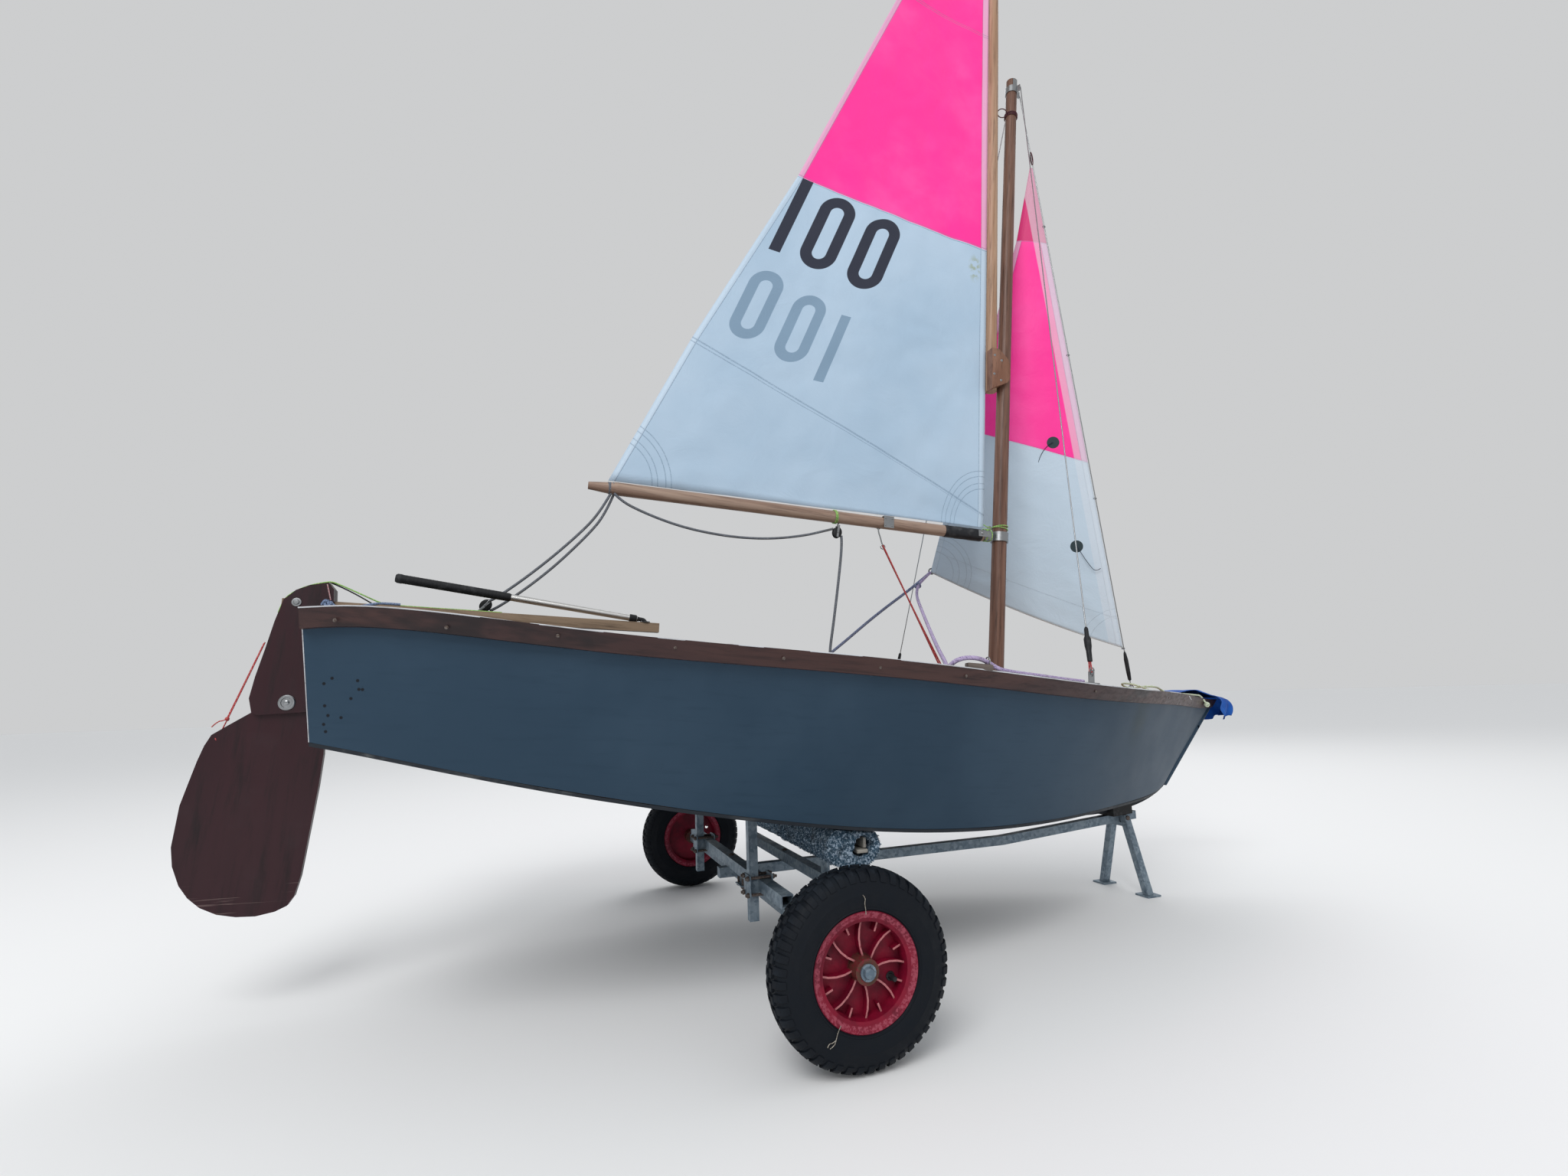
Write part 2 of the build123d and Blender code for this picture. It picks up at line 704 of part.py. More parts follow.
def on_stay(up, back):
    """A point behind the forestay, at a height up the mast"""
    share = up / (BAND_UP + BAND_HEIGHT / 2)
    return low + (high - low) * share + Vector(-back, 0, 0)


jib_gap = WIRE_DIA / 2 + SEAT_GAP
head, tack = on_stay(JIB_HEAD_UP, jib_gap), on_stay(JIB_TACK_UP, jib_gap)
clew = Vector(*at_mast(*JIB_CLEW))
jib_plane = Plane(origin=tack, x_dir=head - tack, z_dir=(head - tack).cross(clew - tack))
with BuildPart() as jib:
    with BuildSketch(jib_plane):
        with BuildLine():
            corners = [jib_plane.to_local_coords(p) for p in (head, tack, clew)]
            Polyline(*[(p.X, p.Y) for p in corners], close=True)
        make_face()
    extrude(amount=SAIL_THICK)
pieces["jib"] = jib.part

# Rudder frame: origin on the pintle line at the sheer, X forward, Z up the transom
rake = degrees(atan2(STATIONS[0][3] * HULL_LENGTH, STATIONS[0][5] * HULL_DEPTH))
rudder_seat = boat_seat * Location((-PINTLE_GAP, 0, 0), (0, -rake, 0))


def on_rudder(plane):
    return Plane(rudder_seat * plane.location)


# Gudgeons: two eyes on the transom for the rudder's pintles
with BuildPart() as gudgeons:
    for level in EYE_LEVELS:
        with BuildSketch(on_rudder(Plane.XY.offset(level))):
            Circle(EYE_DIA / 2)
            with Locations((PINTLE_GAP / 2 - 2, 0)):
                Rectangle(PINTLE_GAP - 4, STRAP_WIDTH)
            with Locations((PINTLE_GAP - PAD_THICK / 2 - 0.7, 0)):
                Rectangle(PAD_THICK, PAD_WIDTH)
            Circle(PINTLE_DIA / 2 + PINTLE_RUN, mode=Mode.SUBTRACT)
        extrude(amount=EYE_HEIGHT)
pieces["gudgeons"] = gudgeons.part

# Pintles: straps on the stock, each with a pin down into its gudgeon
with BuildPart() as pintles:
    for level in EYE_LEVELS:
        with BuildSketch(on_rudder(Plane.XY.offset(level + EYE_HEIGHT + 1))):
            Circle(EYE_DIA / 2)
            with Locations((-9, 0)):
                Rectangle(10, STRAP_WIDTH)
        extrude(amount=10)
        with BuildSketch(on_rudder(Plane.XY.offset(level - 4))):
            Circle(PINTLE_DIA / 2)
        extrude(amount=EYE_HEIGHT + 6)
pieces["pintles"] = pintles.part

# Stock: a head block with two cheeks that hold the blade, open at the top for the tiller
stock_front = -14.0 - SEAT_GAP
tiller_seat = rudder_seat * Location(
    (stock_front - TILLER_BACK, 0, TILLER_UP), (0, rake - TILLER_RISE, 0)
)
with BuildPart() as stock:
    with BuildSketch(on_rudder(Plane.XZ).offset(-STOCK_THICK / 2)):
        with BuildLine():
            Polyline(
                *[
                    (stock_front - aft * STOCK_LENGTH, STOCK_TOP - down * STOCK_HEIGHT)
                    for aft, down in STOCK_EDGE
                ],
                close=True,
            )
        make_face()
    extrude(amount=STOCK_THICK)
    with BuildSketch(on_rudder(Plane.XZ).offset(-CHEEK_GAP / 2)):
        with Locations((stock_front - STOCK_LENGTH / 2, STOCK_TOP - STOCK_HEIGHT)):
            Rectangle(STOCK_LENGTH * 2, 2 * CHEEK_HEIGHT)
    extrude(amount=CHEEK_GAP, mode=Mode.SUBTRACT)
    with BuildSketch(on_rudder(Plane.XZ)):
        with Locations((-BOLT_AFT, BOLT_UP)):
            Circle(BOLT_DIA / 2)
    extrude(amount=STOCK_THICK / 2, both=True)
    with BuildSketch(Plane(tiller_seat * Plane.YZ.location)):
        Rectangle(TILLER_WIDTH + 2 * SEAT_GAP, TILLER_DEPTH + 2 * SEAT_GAP)
    extrude(amount=2 * STOCK_LENGTH, both=True, mode=Mode.SUBTRACT)
pieces["rudder_stock"] = stock.part

# Blade: swept aft below the stock, turning on the bolt
with BuildPart() as blade:
    with BuildSketch(on_rudder(Plane.XZ).offset(-BLADE_THICK / 2)):
        with BuildLine():
            Polyline(
                *[
                    (-BOLT_AFT - aft * BLADE_SWEEP, BOLT_UP - down * BLADE_REACH)
                    for aft, down in BLADE_EDGE
                ],
                close=True,
            )
        make_face()
        with Locations((-BOLT_AFT, BOLT_UP)):
            Circle(BOLT_DIA / 2 + PINTLE_RUN, mode=Mode.SUBTRACT)
    extrude(amount=BLADE_THICK)
pieces["rudder_blade"] = blade.part

# Tiller through the stock's head, and its extension hinged near the forward end
with BuildPart() as tiller:
    with BuildSketch(Plane(tiller_seat * Plane.YZ.location)):
        Rectangle(TILLER_WIDTH, TILLER_DEPTH)
    with BuildSketch(Plane(tiller_seat * Plane.YZ.offset(TILLER_LENGTH).location)):
        Rectangle(TILLER_WIDTH * 0.8, TILLER_DEPTH * 0.85)
    loft()
pieces["tiller"] = tiller.part
extension_seat = tiller_seat * Location(
    (TILLER_LENGTH - EXTENSION_BACK, 0, TILLER_DEPTH * 0.43 + EXTENSION_DIA / 2 + SEAT_GAP),
    (0, EXTENSION_LEAN, 0),
)
with BuildPart() as extension:
    with BuildSketch(Plane(extension_seat)):
        Circle(EXTENSION_DIA / 2)
    extrude(amount=EXTENSION_LENGTH)
pieces["tiller_extension"] = extension.part

# Axle: a square bar with a round stub at each end
wheel_r = WHEEL_DIA / 2
half_bar = HALF_TRACK - HUB_LENGTH / 2 - 4
with BuildPart() as axle:
    with BuildSketch(Plane.XZ.offset(-half_bar)):
        with Locations((AXLE_X, wheel_r)):
            Rectangle(AXLE_SIZE, AXLE_SIZE)
    extrude(amount=2 * half_bar)
    stub_end = HALF_TRACK + HUB_LENGTH / 2 + 10
    with BuildSketch(Plane.XZ.offset(-stub_end)):
        with Locations((AXLE_X, wheel_r)):
            Circle(STUB_DIA / 2)
    extrude(amount=2 * stub_end)
    for side in (1, -1):
        start = HALF_TRACK + HUB_LENGTH / 2 + 1
        with BuildSketch(Plane.XZ.offset(-side * start)):
            with Locations((AXLE_X, wheel_r)):
                Circle(STUB_DIA / 2 + 7)
        extrude(amount=-side * 4)
pieces["axle"] = axle.part

# Wheels: a round-shouldered tyre on a dished, ribbed plastic centre. Columns of the tyre's half
# profile: radius, share of the half width
rim_r = RIM_DIA / 2
TYRE_PROFILE = [
    (rim_r - WELL_DEPTH + SEAT_GAP, 0.62),
    (rim_r + 1, 0.84),
    (rim_r + 14, 0.97),
    (rim_r + 34, 1.00),
    (wheel_r - 26, 0.93),
    (wheel_r - 11, 0.76),
    (wheel_r - 2, 0.40),
    (wheel_r, 0.14),
]
well_r = rim_r - WELL_DEPTH
rib_start = HUB_DIA / 2 - 1
rib_run = well_r - WELL_WALL + 1 - rib_start
rib_line = [(rib_start + along * rib_run, bow * RIB_BOW) for along, bow in RIB_CURVE]
rib_edge = [(x, y - RIB_THICK / 2) for x, y in rib_line]
rib_edge += [(x, y + RIB_THICK / 2) for x, y in reversed(rib_line)]
for side, name in ((1, "port"), (-1, "starboard")):
    wheel_plane = Plane(
        origin=(AXLE_X, side * HALF_TRACK, wheel_r), x_dir=(1, 0, 0), z_dir=(0, side, 0)
    )
    profile_plane = Plane(
        origin=(AXLE_X, side * HALF_TRACK, wheel_r), x_dir=(1, 0, 0), z_dir=(0, 0, 1)
    )
    with BuildPart() as tyre:
        with BuildSketch(profile_plane):
            with BuildLine():
                half = [(radius, width * TYRE_WIDTH / 2) for radius, width in TYRE_PROFILE]
                Polyline(*half, *[(x, -y) for x, y in reversed(half)], close=True)
            make_face()
        revolve(axis=Axis((AXLE_X, side * HALF_TRACK, wheel_r), (0, 1, 0)))
    pieces["tyre_" + name] = tyre.part

    with BuildPart() as rim:
        with BuildSketch(profile_plane):
            with BuildLine():
                Polyline(
                    (STUB_DIA / 2 + HUB_RUN, 0),
                    (STUB_DIA / 2 + HUB_RUN, HUB_LENGTH / 2),
                    (HUB_DIA / 2, HUB_LENGTH / 2),
                    (HUB_DIA / 2, WEB_THICK / 2),
                    (well_r - WELL_WALL - 4, WEB_THICK / 2),
                    (well_r - WELL_WALL, FLANGE_HALF - 8),
                    (rim_r - 2, FLANGE_HALF),
                    (rim_r, FLANGE_HALF - 2),
                    (well_r, WELL_HALF),
                    (well_r, 0),
                    close=True,
                )
            make_face()
            mirror(about=Plane.XZ)
        revolve(axis=Axis((AXLE_X, side * HALF_TRACK, wheel_r), (0, 1, 0)))
        with BuildSketch(wheel_plane.offset(WEB_THICK / 2)):
            with PolarLocations(0, RIB_COUNT):
                Polygon(*rib_edge, align=None)
            with PolarLocations(well_r - WELL_WALL - SHORT_RIB / 2, RIB_COUNT, 180 / RIB_COUNT):
                Rectangle(SHORT_RIB, RIB_THICK)
        extrude(amount=RIB_HEIGHT)
        with BuildSketch(wheel_plane.offset(-WEB_THICK)):
            with Locations(Location((0, 0), -180 / RIB_COUNT)):
                with Locations((VALVE_RADIUS, 0)):
                    RegularPolygon(VALVE_HOLE / 2, 8)
        extrude(amount=2 * WEB_THICK, mode=Mode.SUBTRACT)
    pieces["rim_" + name] = rim.part

# The keel's underside above the chock, between the two stations next to it
chock_along = (HULL_LENGTH - CHOCK_AFT) / HULL_LENGTH
after, ahead = [
    pair for pair in zip(STATIONS, STATIONS[1:]) if pair[0][3] <= chock_along < pair[1][3]
][0]
share = (chock_along - after[3]) / (ahead[3] - after[3])
chock_depth = (after[5] + share * (ahead[5] - after[5])) * HULL_DEPTH
chock_vee = (after[6] + share * (ahead[6] - after[6])) * VEE_DEPTH
keel_point = at_boat(HULL_LENGTH - CHOCK_AFT, 0, -chock_depth - chock_vee - PLY - KEEL_DEPTH)

# Tongue: a square tube along the middle, level over the axle, then rising to the bow
tongue_up = wheel_r + AXLE_SIZE / 2 + SEAT_GAP
chock_x = keel_point.X
bend_x = AXLE_X + TONGUE_BEND
tongue_slope = (keel_point.Z - CHOCK_HEIGHT - TONGUE_SIZE - tongue_up) / (chock_x - bend_x)
tongue_end = chock_x + TONGUE_PAST_CHOCK
tongue_line = [
    (AXLE_X + TONGUE_AFT, tongue_up),
    (bend_x, tongue_up),
    (tongue_end, tongue_up + (tongue_end - bend_x) * tongue_slope),
]
with BuildPart() as tongue:
    with BuildSketch(Plane.XZ.offset(-TONGUE_SIZE / 2)):
        with BuildLine():
            tongue_top = [(x, z + TONGUE_SIZE) for x, z in reversed(tongue_line)]
            Polyline(*tongue_line, *tongue_top, close=True)
        make_face()
    extrude(amount=TONGUE_SIZE)
pieces["tongue"] = tongue.part

# Cross tube behind the axle, open at its ends, and two square props clamped to it
cross_z = tongue_up + TONGUE_SIZE + SEAT_GAP
with BuildPart() as cross_tube:
    with BuildSketch(Plane.XZ.offset(-CROSS_LENGTH / 2)):
        with Locations((AXLE_X + CROSS_X, cross_z + CROSS_SIZE / 2)):
            Rectangle(CROSS_SIZE, CROSS_SIZE)
            Rectangle(CROSS_SIZE - 6, CROSS_SIZE - 6, mode=Mode.SUBTRACT)
    extrude(amount=CROSS_LENGTH)
pieces["cross_tube"] = cross_tube.part

prop_x = AXLE_X + CROSS_X - CROSS_SIZE / 2 - PROP_SIZE / 2 - SEAT_GAP
with BuildPart() as prop_pair:
    with BuildSketch(Plane.XY.offset(PROP_FOOT)):
        with Locations((prop_x, PROP_HALF), (prop_x, -PROP_HALF)):
            Rectangle(PROP_SIZE, PROP_SIZE)
    extrude(amount=SEAT_HEIGHT / 2)
pieces["props"] = off_bottom(prop_pair.part - hull_clear)

# Bunk beam on the tongue, with two short posts, and the padded bolster that they carry
beam_z = tongue_up + TONGUE_SIZE + SEAT_GAP
bolster_x = AXLE_X + BEAM_X
with BuildPart() as bunk_beam:
    with BuildSketch(Plane.XZ.offset(-BEAM_LENGTH / 2)):
        with Locations((bolster_x, beam_z + TONGUE_SIZE / 2)):
            Rectangle(TONGUE_SIZE, TONGUE_SIZE)
    extrude(amount=BEAM_LENGTH)
    with BuildSketch(Plane.XY.offset(beam_z + TONGUE_SIZE)):
        with Locations((bolster_x, STUB_HALF), (bolster_x, -STUB_HALF)):
            Circle(PROP_SIZE / 2)
    extrude(amount=BOLSTER_UP - BOLSTER_HIGH / 2 - beam_z - TONGUE_SIZE - SEAT_GAP)
pieces["bunk_beam"] = bunk_beam.part
with BuildPart() as bolster:
    with BuildSketch(Plane.XZ.offset(-BOLSTER_LENGTH / 2)):
        with Locations((bolster_x, BOLSTER_UP)):
            SlotOverall(BOLSTER_WIDE, BOLSTER_HIGH)
    extrude(amount=BOLSTER_LENGTH)
pieces["bolster"] = off_bottom((bolster.part - hull_clear) - keel_clear)

# Bow chock on the tongue: its foot follows the tongue's slope and its top takes the keel and hull
chock_foot = [
    (x, tongue_up + (x - bend_x) * tongue_slope + TONGUE_SIZE + SEAT_GAP)
    for x in (chock_x - CHOCK_LENGTH / 2, chock_x + CHOCK_LENGTH / 2)
]
with BuildPart() as chock:
    with BuildSketch(Plane.XZ.offset(-CHOCK_WIDTH / 2)):
        with BuildLine():
            horn_z = chock_foot[1][1] + CHOCK_HEIGHT + CHOCK_HORN
            Polyline(*chock_foot, (chock_foot[1][0], horn_z), (chock_foot[0][0], horn_z), close=True)
        make_face()
    extrude(amount=CHOCK_WIDTH)
pieces["bow_chock"] = off_bottom((chock.part - hull_clear) - keel_clear)

# Front leg: two splayed bars under the tongue, each on a foot, and the saddle that joins them
leg_x = chock_x + LEG_PAST_CHOCK
leg_top = tongue_up + (leg_x - bend_x) * tongue_slope
with BuildPart() as front_leg:
    for side in (1, -1):
        with BuildSketch(Plane.YZ.offset(leg_x - LEG_SIZE / 2)):
            with BuildLine():
                Polyline(
                    (side * (TONGUE_SIZE / 2 + SEAT_GAP), leg_top + TONGUE_SIZE - 4),
                    (side * (TONGUE_SIZE / 2 + SEAT_GAP + LEG_SIZE), leg_top + TONGUE_SIZE - 4),
                    (side * LEG_SPREAD, FOOT_THICK),
                    (side * (LEG_SPREAD - LEG_SIZE), FOOT_THICK),
                    close=True,
                )
            make_face()
        extrude(amount=LEG_SIZE)
        with BuildSketch(Plane.XY):
            with Locations((leg_x, side * (LEG_SPREAD - LEG_SIZE / 2))):
                Rectangle(FOOT_SIZE, FOOT_SIZE)
        extrude(amount=FOOT_THICK)
    with BuildSketch(Plane.XY.offset(leg_top - LEG_SIZE / 2 - SEAT_GAP - 1)):
        with Locations((leg_x, 0)):
            Rectangle(LEG_SIZE, TONGUE_SIZE + LEG_SIZE)
    extrude(amount=LEG_SIZE / 2)
pieces["front_leg"] = front_leg.part

# Cloth laid over the bow: a flat top with a skirt round the strakes and stem
with BuildPart() as bow_cloth:
    with BuildSketch(on_boat(Plane.XY.offset(1 - CLOTH_DROP))) as skirt:
        with BuildLine():
            Polyline(*CLOTH_PLAN, *[(x, -y) for x, y in reversed(CLOTH_PLAN)], close=True)
        make_face()
        offset(amount=CLOTH_THICK, kind=Kind.ARC)
        with BuildLine():
            Polyline(*CLOTH_PLAN, *[(x, -y) for x, y in reversed(CLOTH_PLAN)], close=True)
        make_face(mode=Mode.SUBTRACT)
        with Locations((CLOTH_PLAN[0][0] - CLOTH_THICK, 0)):
            Rectangle(2 * CLOTH_THICK, 2 * HALF_BEAM, mode=Mode.SUBTRACT)
    extrude(amount=CLOTH_DROP)
    with BuildSketch(on_boat(Plane.XY.offset(1))):
        with BuildLine():
            Polyline(*CLOTH_PLAN, *[(x, -y) for x, y in reversed(CLOTH_PLAN)], close=True)
        make_face()
        offset(amount=CLOTH_THICK, kind=Kind.ARC)
    extrude(amount=CLOTH_THICK)
pieces["bow_cloth"] = bow_cloth.part

for name, piece in pieces.items():
    piece.label = name
    export_step(piece, "parts/" + name + ".step")
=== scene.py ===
from functools import reduce
from math import atan2, cos, pi, radians, sin, sqrt

import bmesh
import bpy
from mathutils import Matrix, Vector, noise


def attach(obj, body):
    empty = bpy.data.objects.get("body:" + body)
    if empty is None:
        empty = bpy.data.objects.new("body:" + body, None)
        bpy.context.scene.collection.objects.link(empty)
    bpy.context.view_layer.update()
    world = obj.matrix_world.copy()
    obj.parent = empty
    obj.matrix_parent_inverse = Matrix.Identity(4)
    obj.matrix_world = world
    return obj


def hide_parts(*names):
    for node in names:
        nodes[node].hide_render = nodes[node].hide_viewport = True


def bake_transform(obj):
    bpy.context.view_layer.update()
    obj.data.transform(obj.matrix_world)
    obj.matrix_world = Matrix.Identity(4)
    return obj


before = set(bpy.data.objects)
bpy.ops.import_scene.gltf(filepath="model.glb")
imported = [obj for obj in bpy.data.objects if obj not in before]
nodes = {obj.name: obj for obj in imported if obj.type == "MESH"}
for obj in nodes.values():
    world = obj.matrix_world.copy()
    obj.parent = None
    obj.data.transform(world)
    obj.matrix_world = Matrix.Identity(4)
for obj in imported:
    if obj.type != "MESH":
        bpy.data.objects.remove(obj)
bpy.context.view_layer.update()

# The camera stands by the starboard quarter at eye height with a wide lens, and looks a little
# up at the boom.
CAMERA_PLACE = Vector((-0.9629, -2.31, 0.76))
CAMERA_YAW = radians(19.7)
CAMERA_PITCH = radians(8.5)
CAMERA_ROLL = radians(-1.9)
SENSOR_WIDTH = 36
# Focal length over the frame's width, both in pixels of the full frame
FOCAL_SHARE = 952 / 2048


def link(name, data):
    """A new object for some data, in the scene"""
    thing = bpy.data.objects.new(name, data)
    bpy.context.scene.collection.objects.link(thing)
    return thing


flat_ahead = Vector((sin(CAMERA_YAW), cos(CAMERA_YAW), 0))
ahead = flat_ahead * cos(CAMERA_PITCH) + Vector((0, 0, sin(CAMERA_PITCH)))
level = Vector((cos(CAMERA_YAW), -sin(CAMERA_YAW), 0))
upright = level.cross(ahead)
right = cos(CAMERA_ROLL) * level + sin(CAMERA_ROLL) * upright
above = cos(CAMERA_ROLL) * upright - sin(CAMERA_ROLL) * level
lens = bpy.data.cameras.new("camera")
lens.sensor_width, lens.lens = SENSOR_WIDTH, SENSOR_WIDTH * FOCAL_SHARE
lens.clip_end = 200
camera = link("camera", lens)
turn = Matrix((right, above, -ahead)).transposed()
camera.matrix_world = Matrix.Translation(CAMERA_PLACE) @ turn.to_4x4()
bpy.context.scene.camera = camera


# Hull planking: side panels, transom and stem of thin plywood in rolled satin slate paint, with
# chips near the stern, a stain near the bow and a painted highlight on the corner at the transom.
BOAT = (-1.4029, 0, 0.974), (0, radians(5.14), 0)
PAINT = (0.023, 0.048, 0.078)
PAINT_CHALK = (0.032, 0.061, 0.095)
PAINT_DEEP = (0.016, 0.036, 0.06)
CHIP = (0.008, 0.01, 0.014)
STAIN = (0.03, 0.042, 0.03)


class Value:
    """A shader socket that takes part in Python sums by adding Math nodes"""

    def __init__(self, finish, socket):
        self.finish, self.socket = finish, socket

    def math(self, operation, *others):
        inputs = dict(enumerate((self,) + others))
        return self.finish.add("Math", {"operation": operation}, inputs)

    def __add__(self, other):
        return self.math("ADD", other)

    def __sub__(self, other):
        return self.math("SUBTRACT", other)

    def __mul__(self, other):
        return self.math("MULTIPLY", other)

    def __rsub__(self, other):
        return self.finish.add("Math", {"operation": "SUBTRACT"}, {0: other, 1: self})

    __radd__ = __add__
    __rmul__ = __mul__

    def size(self):
        return self.math("ABSOLUTE")

    def most(self, other):
        return self.math("MAXIMUM", other)

    def beside(self, other):
        """How far a point lies from the origin, of which these are two coordinates"""
        return (self * self + other * other).math("SQRT")

    def below(self, low, high):
        """1 below the low value, and 0 above the high one"""
        return self.between(low, high, 1.0, 0.0)

    def between(self, low, high, start=0.0, end=1.0):
        """A smooth change from start to end as this goes from low to high"""
        inputs = {"Value": self, "From Min": low, "From Max": high, "To Min": start, "To Max": end}
        return self.finish.add("MapRange", {"interpolation_type": "SMOOTHSTEP"}, inputs)


class Finish:
    """A material with one Principled shader, and the nodes that feed it"""

    def __init__(self, name, **shader):
        self.material = bpy.data.materials.new(name)
        self.material.use_nodes = True
        self.tree = self.material.node_tree
        self.bsdf = self.tree.nodes["Principled BSDF"]
        self.set(**shader)

    def feed(self, socket, value):
        """Links a shader value to a socket, or sets the socket to a number or colour"""
        if isinstance(value, Value):
            self.tree.links.new(value.socket, socket)
        elif socket.type == "RGBA":
            socket.default_value = (*value, 1)
        else:
            socket.default_value = value

    def set(self, **shader):
        for name, value in shader.items():
            self.feed(self.bsdf.inputs[name.replace("_", " ")], value)

    def add(self, kind, settings=None, inputs=None, output=0):
        """A new node, given as the value of one of its outputs"""
        node = self.tree.nodes.new("ShaderNode" + kind)
        for name, value in (settings or {}).items():
            setattr(node, name, value)
        for name, value in (inputs or {}).items():
            self.feed(node.inputs[name], value)
        return Value(self, node.outputs[output])

    def place(self, location=(0, 0, 0), turn=(0, 0, 0), scale=(1, 1, 1)):
        """Object coordinates as seen from a frame of the object's own"""
        inputs = {0: self.add("TexCoord", output="Object")}
        inputs.update({1: location, 2: turn, 3: scale})
        return self.add("Mapping", {"vector_type": "TEXTURE"}, inputs)

    def axes(self, vector):
        return [self.add("SeparateXYZ", inputs={0: vector}, output=k) for k in range(3)]

    def noise(self, vector, scale, detail=3.0, roughness=0.55, distortion=0.0):
        inputs = {"Vector": vector, "Scale": scale, "Detail": detail, "Roughness": roughness}
        inputs["Distortion"] = distortion
        return self.add("TexNoise", inputs=inputs, output="Fac")

    def mix(self, share, first, second):
        inputs = {0: share, 6: first, 7: second}
        return self.add("Mix", {"data_type": "RGBA"}, inputs, output=2)

    def bump(self, height, distance, strength=1.0):
        inputs = {"Height": height, "Distance": distance, "Strength": strength}
        self.set(Normal=self.add("Bump", inputs=inputs))


def dress(finish, *names):
    """Gives a finish to CAD nodes"""
    for name in names:
        nodes[name].data.materials.clear()
        nodes[name].data.materials.append(finish.material)


def widest(masks):
    """One mask that covers what any of several covers"""
    return reduce(Value.most, masks)


def spots(along, up, places, radius, edge):
    """A mask of round spots of a radius, solid within their edge, at places given as (x, z)"""
    return widest((along - x).beside(up - z).below(edge, radius) for x, z in places)


CHIP_PLACES = [(0.055, -0.15), (0.07, -0.138), (0.12, -0.14), (0.124, -0.158), (0.131, -0.158),
    (0.11, -0.178), (0.06, -0.196), (0.068, -0.216), (0.094, -0.219), (0.061, -0.235),
    (0.066, -0.25)]
CHIP_RADIUS = 0.0042


def slate_paint():
    """Slate paint in cloudy patches, with a painted highlight on the corner at the transom"""
    paint = Finish("slate paint", Specular_IOR_Level=0.14)
    boat = paint.place(*BOAT)
    cloudy = paint.noise(boat, 2.2, 4)
    streaky = paint.noise(paint.place(*BOAT, (1, 1, 0.12)), 9, 4)
    colour = paint.mix(cloudy.between(0.35, 0.7), PAINT, PAINT_CHALK)
    colour = paint.mix(streaky.between(0.5, 0.75, 0.0, 0.25), colour, PAINT_DEEP)
    along, _, up = paint.axes(boat)
    stained = ((along - 2.36) * 3).beside((up + 0.1) * sqrt(3)).between(0.06, 0.26, 0.55, 0)
    colour = paint.mix(stained * paint.noise(boat, 14), colour, STAIN)
    facing = paint.axes(paint.add("NewGeometry", output="Normal"))[1].size()
    # Painted highlight: a pale line where the side panels round off at the transom
    edge = along.below(0.0025, 0.0055) * facing.between(0.3, 0.6)
    colour = paint.mix(edge * 0.8, colour, (0.22, 0.27, 0.32))
    chips = spots(along, up, CHIP_PLACES, CHIP_RADIUS, CHIP_RADIUS * 0.6)
    speckle = paint.noise(boat, 260, 1).between(0.74, 0.8)
    speckle = speckle * paint.noise(boat, 6).between(0.55, 0.7)
    colour = paint.mix(chips.most(speckle), colour, CHIP)
    paint.set(Base_Color=colour, Roughness=paint.noise(boat, 8).between(0.2, 0.8, 0.44, 0.5))
    rolled = paint.noise(boat, 420, 2) * 0.3 + paint.noise(boat, 3, 2) * 2
    paint.bump(rolled - chips * 0.8, 0.0004, 0.25)
    return paint


dress(slate_paint(), "side_panel_port", "side_panel_starboard", "transom", "stem")


# Bottom planking and keel strip: plywood under dark varnish, glued to the side panels along the
# chines, dusty and scuffed by beaches.
BOTTOM = (0.012, 0.016, 0.022)
BOTTOM_SCUFF = (0.075, 0.082, 0.085)
bottom = Finish("bottom varnish", Specular_IOR_Level=0.25)
boat = bottom.place(*BOAT)
drawn = bottom.noise(bottom.place(*BOAT, (1, 0.05, 0.2)), 5, 5, 0.7)
colour = bottom.mix(drawn.between(0.5, 0.8), BOTTOM, BOTTOM_SCUFF)
bottom.set(Base_Color=colour, Roughness=drawn.between(0.2, 0.8, 0.4, 0.7))
bottom.bump(drawn, 0.0008)
dress(bottom, "bottom_panel_port", "bottom_panel_starboard", "keel_strip")


# Rubbing strakes: dark red-brown varnished hardwood round the sheer, with a painted highlight
# along its top edge, darker patches where the varnish went. They are bent round the hull and
# screwed on.
STRAKE = (0.034, 0.015, 0.015)
STRAKE_DARK = (0.014, 0.008, 0.009)
# Painted highlight: the pale of the sky in the varnish
STRAKE_HIGHLIGHT = (0.4, 0.37, 0.36)


def wood(name, axes, stretch, colours, grain=60.0, gloss=0.35, ring=1.0):
    """Long-grained timber: fibre streaks and slow bands of light and dark along one axis"""
    timber = Finish(name, Specular_IOR_Level=0.25, Coat_Weight=0.12, Coat_Roughness=gloss * 0.6)
    lengthwise = timber.place(*axes, stretch)
    fibre = timber.noise(lengthwise, grain, 6, 0.65, 0.3)
    band = timber.noise(lengthwise, grain * 0.12 * ring, 3, 0.5, 0.6)
    dark, mid, light = colours
    colour = timber.mix(band.between(0.3, 0.7), mid, light)
    colour = timber.mix(fibre.between(0.45, 0.75, 0.0, 0.75), colour, dark)
    timber.set(Base_Color=colour, Roughness=fibre.between(0.2, 0.8, gloss, gloss + 0.25))
    timber.bump(fibre, 0.0004, 0.7)
    timber.colour = colour
    return timber


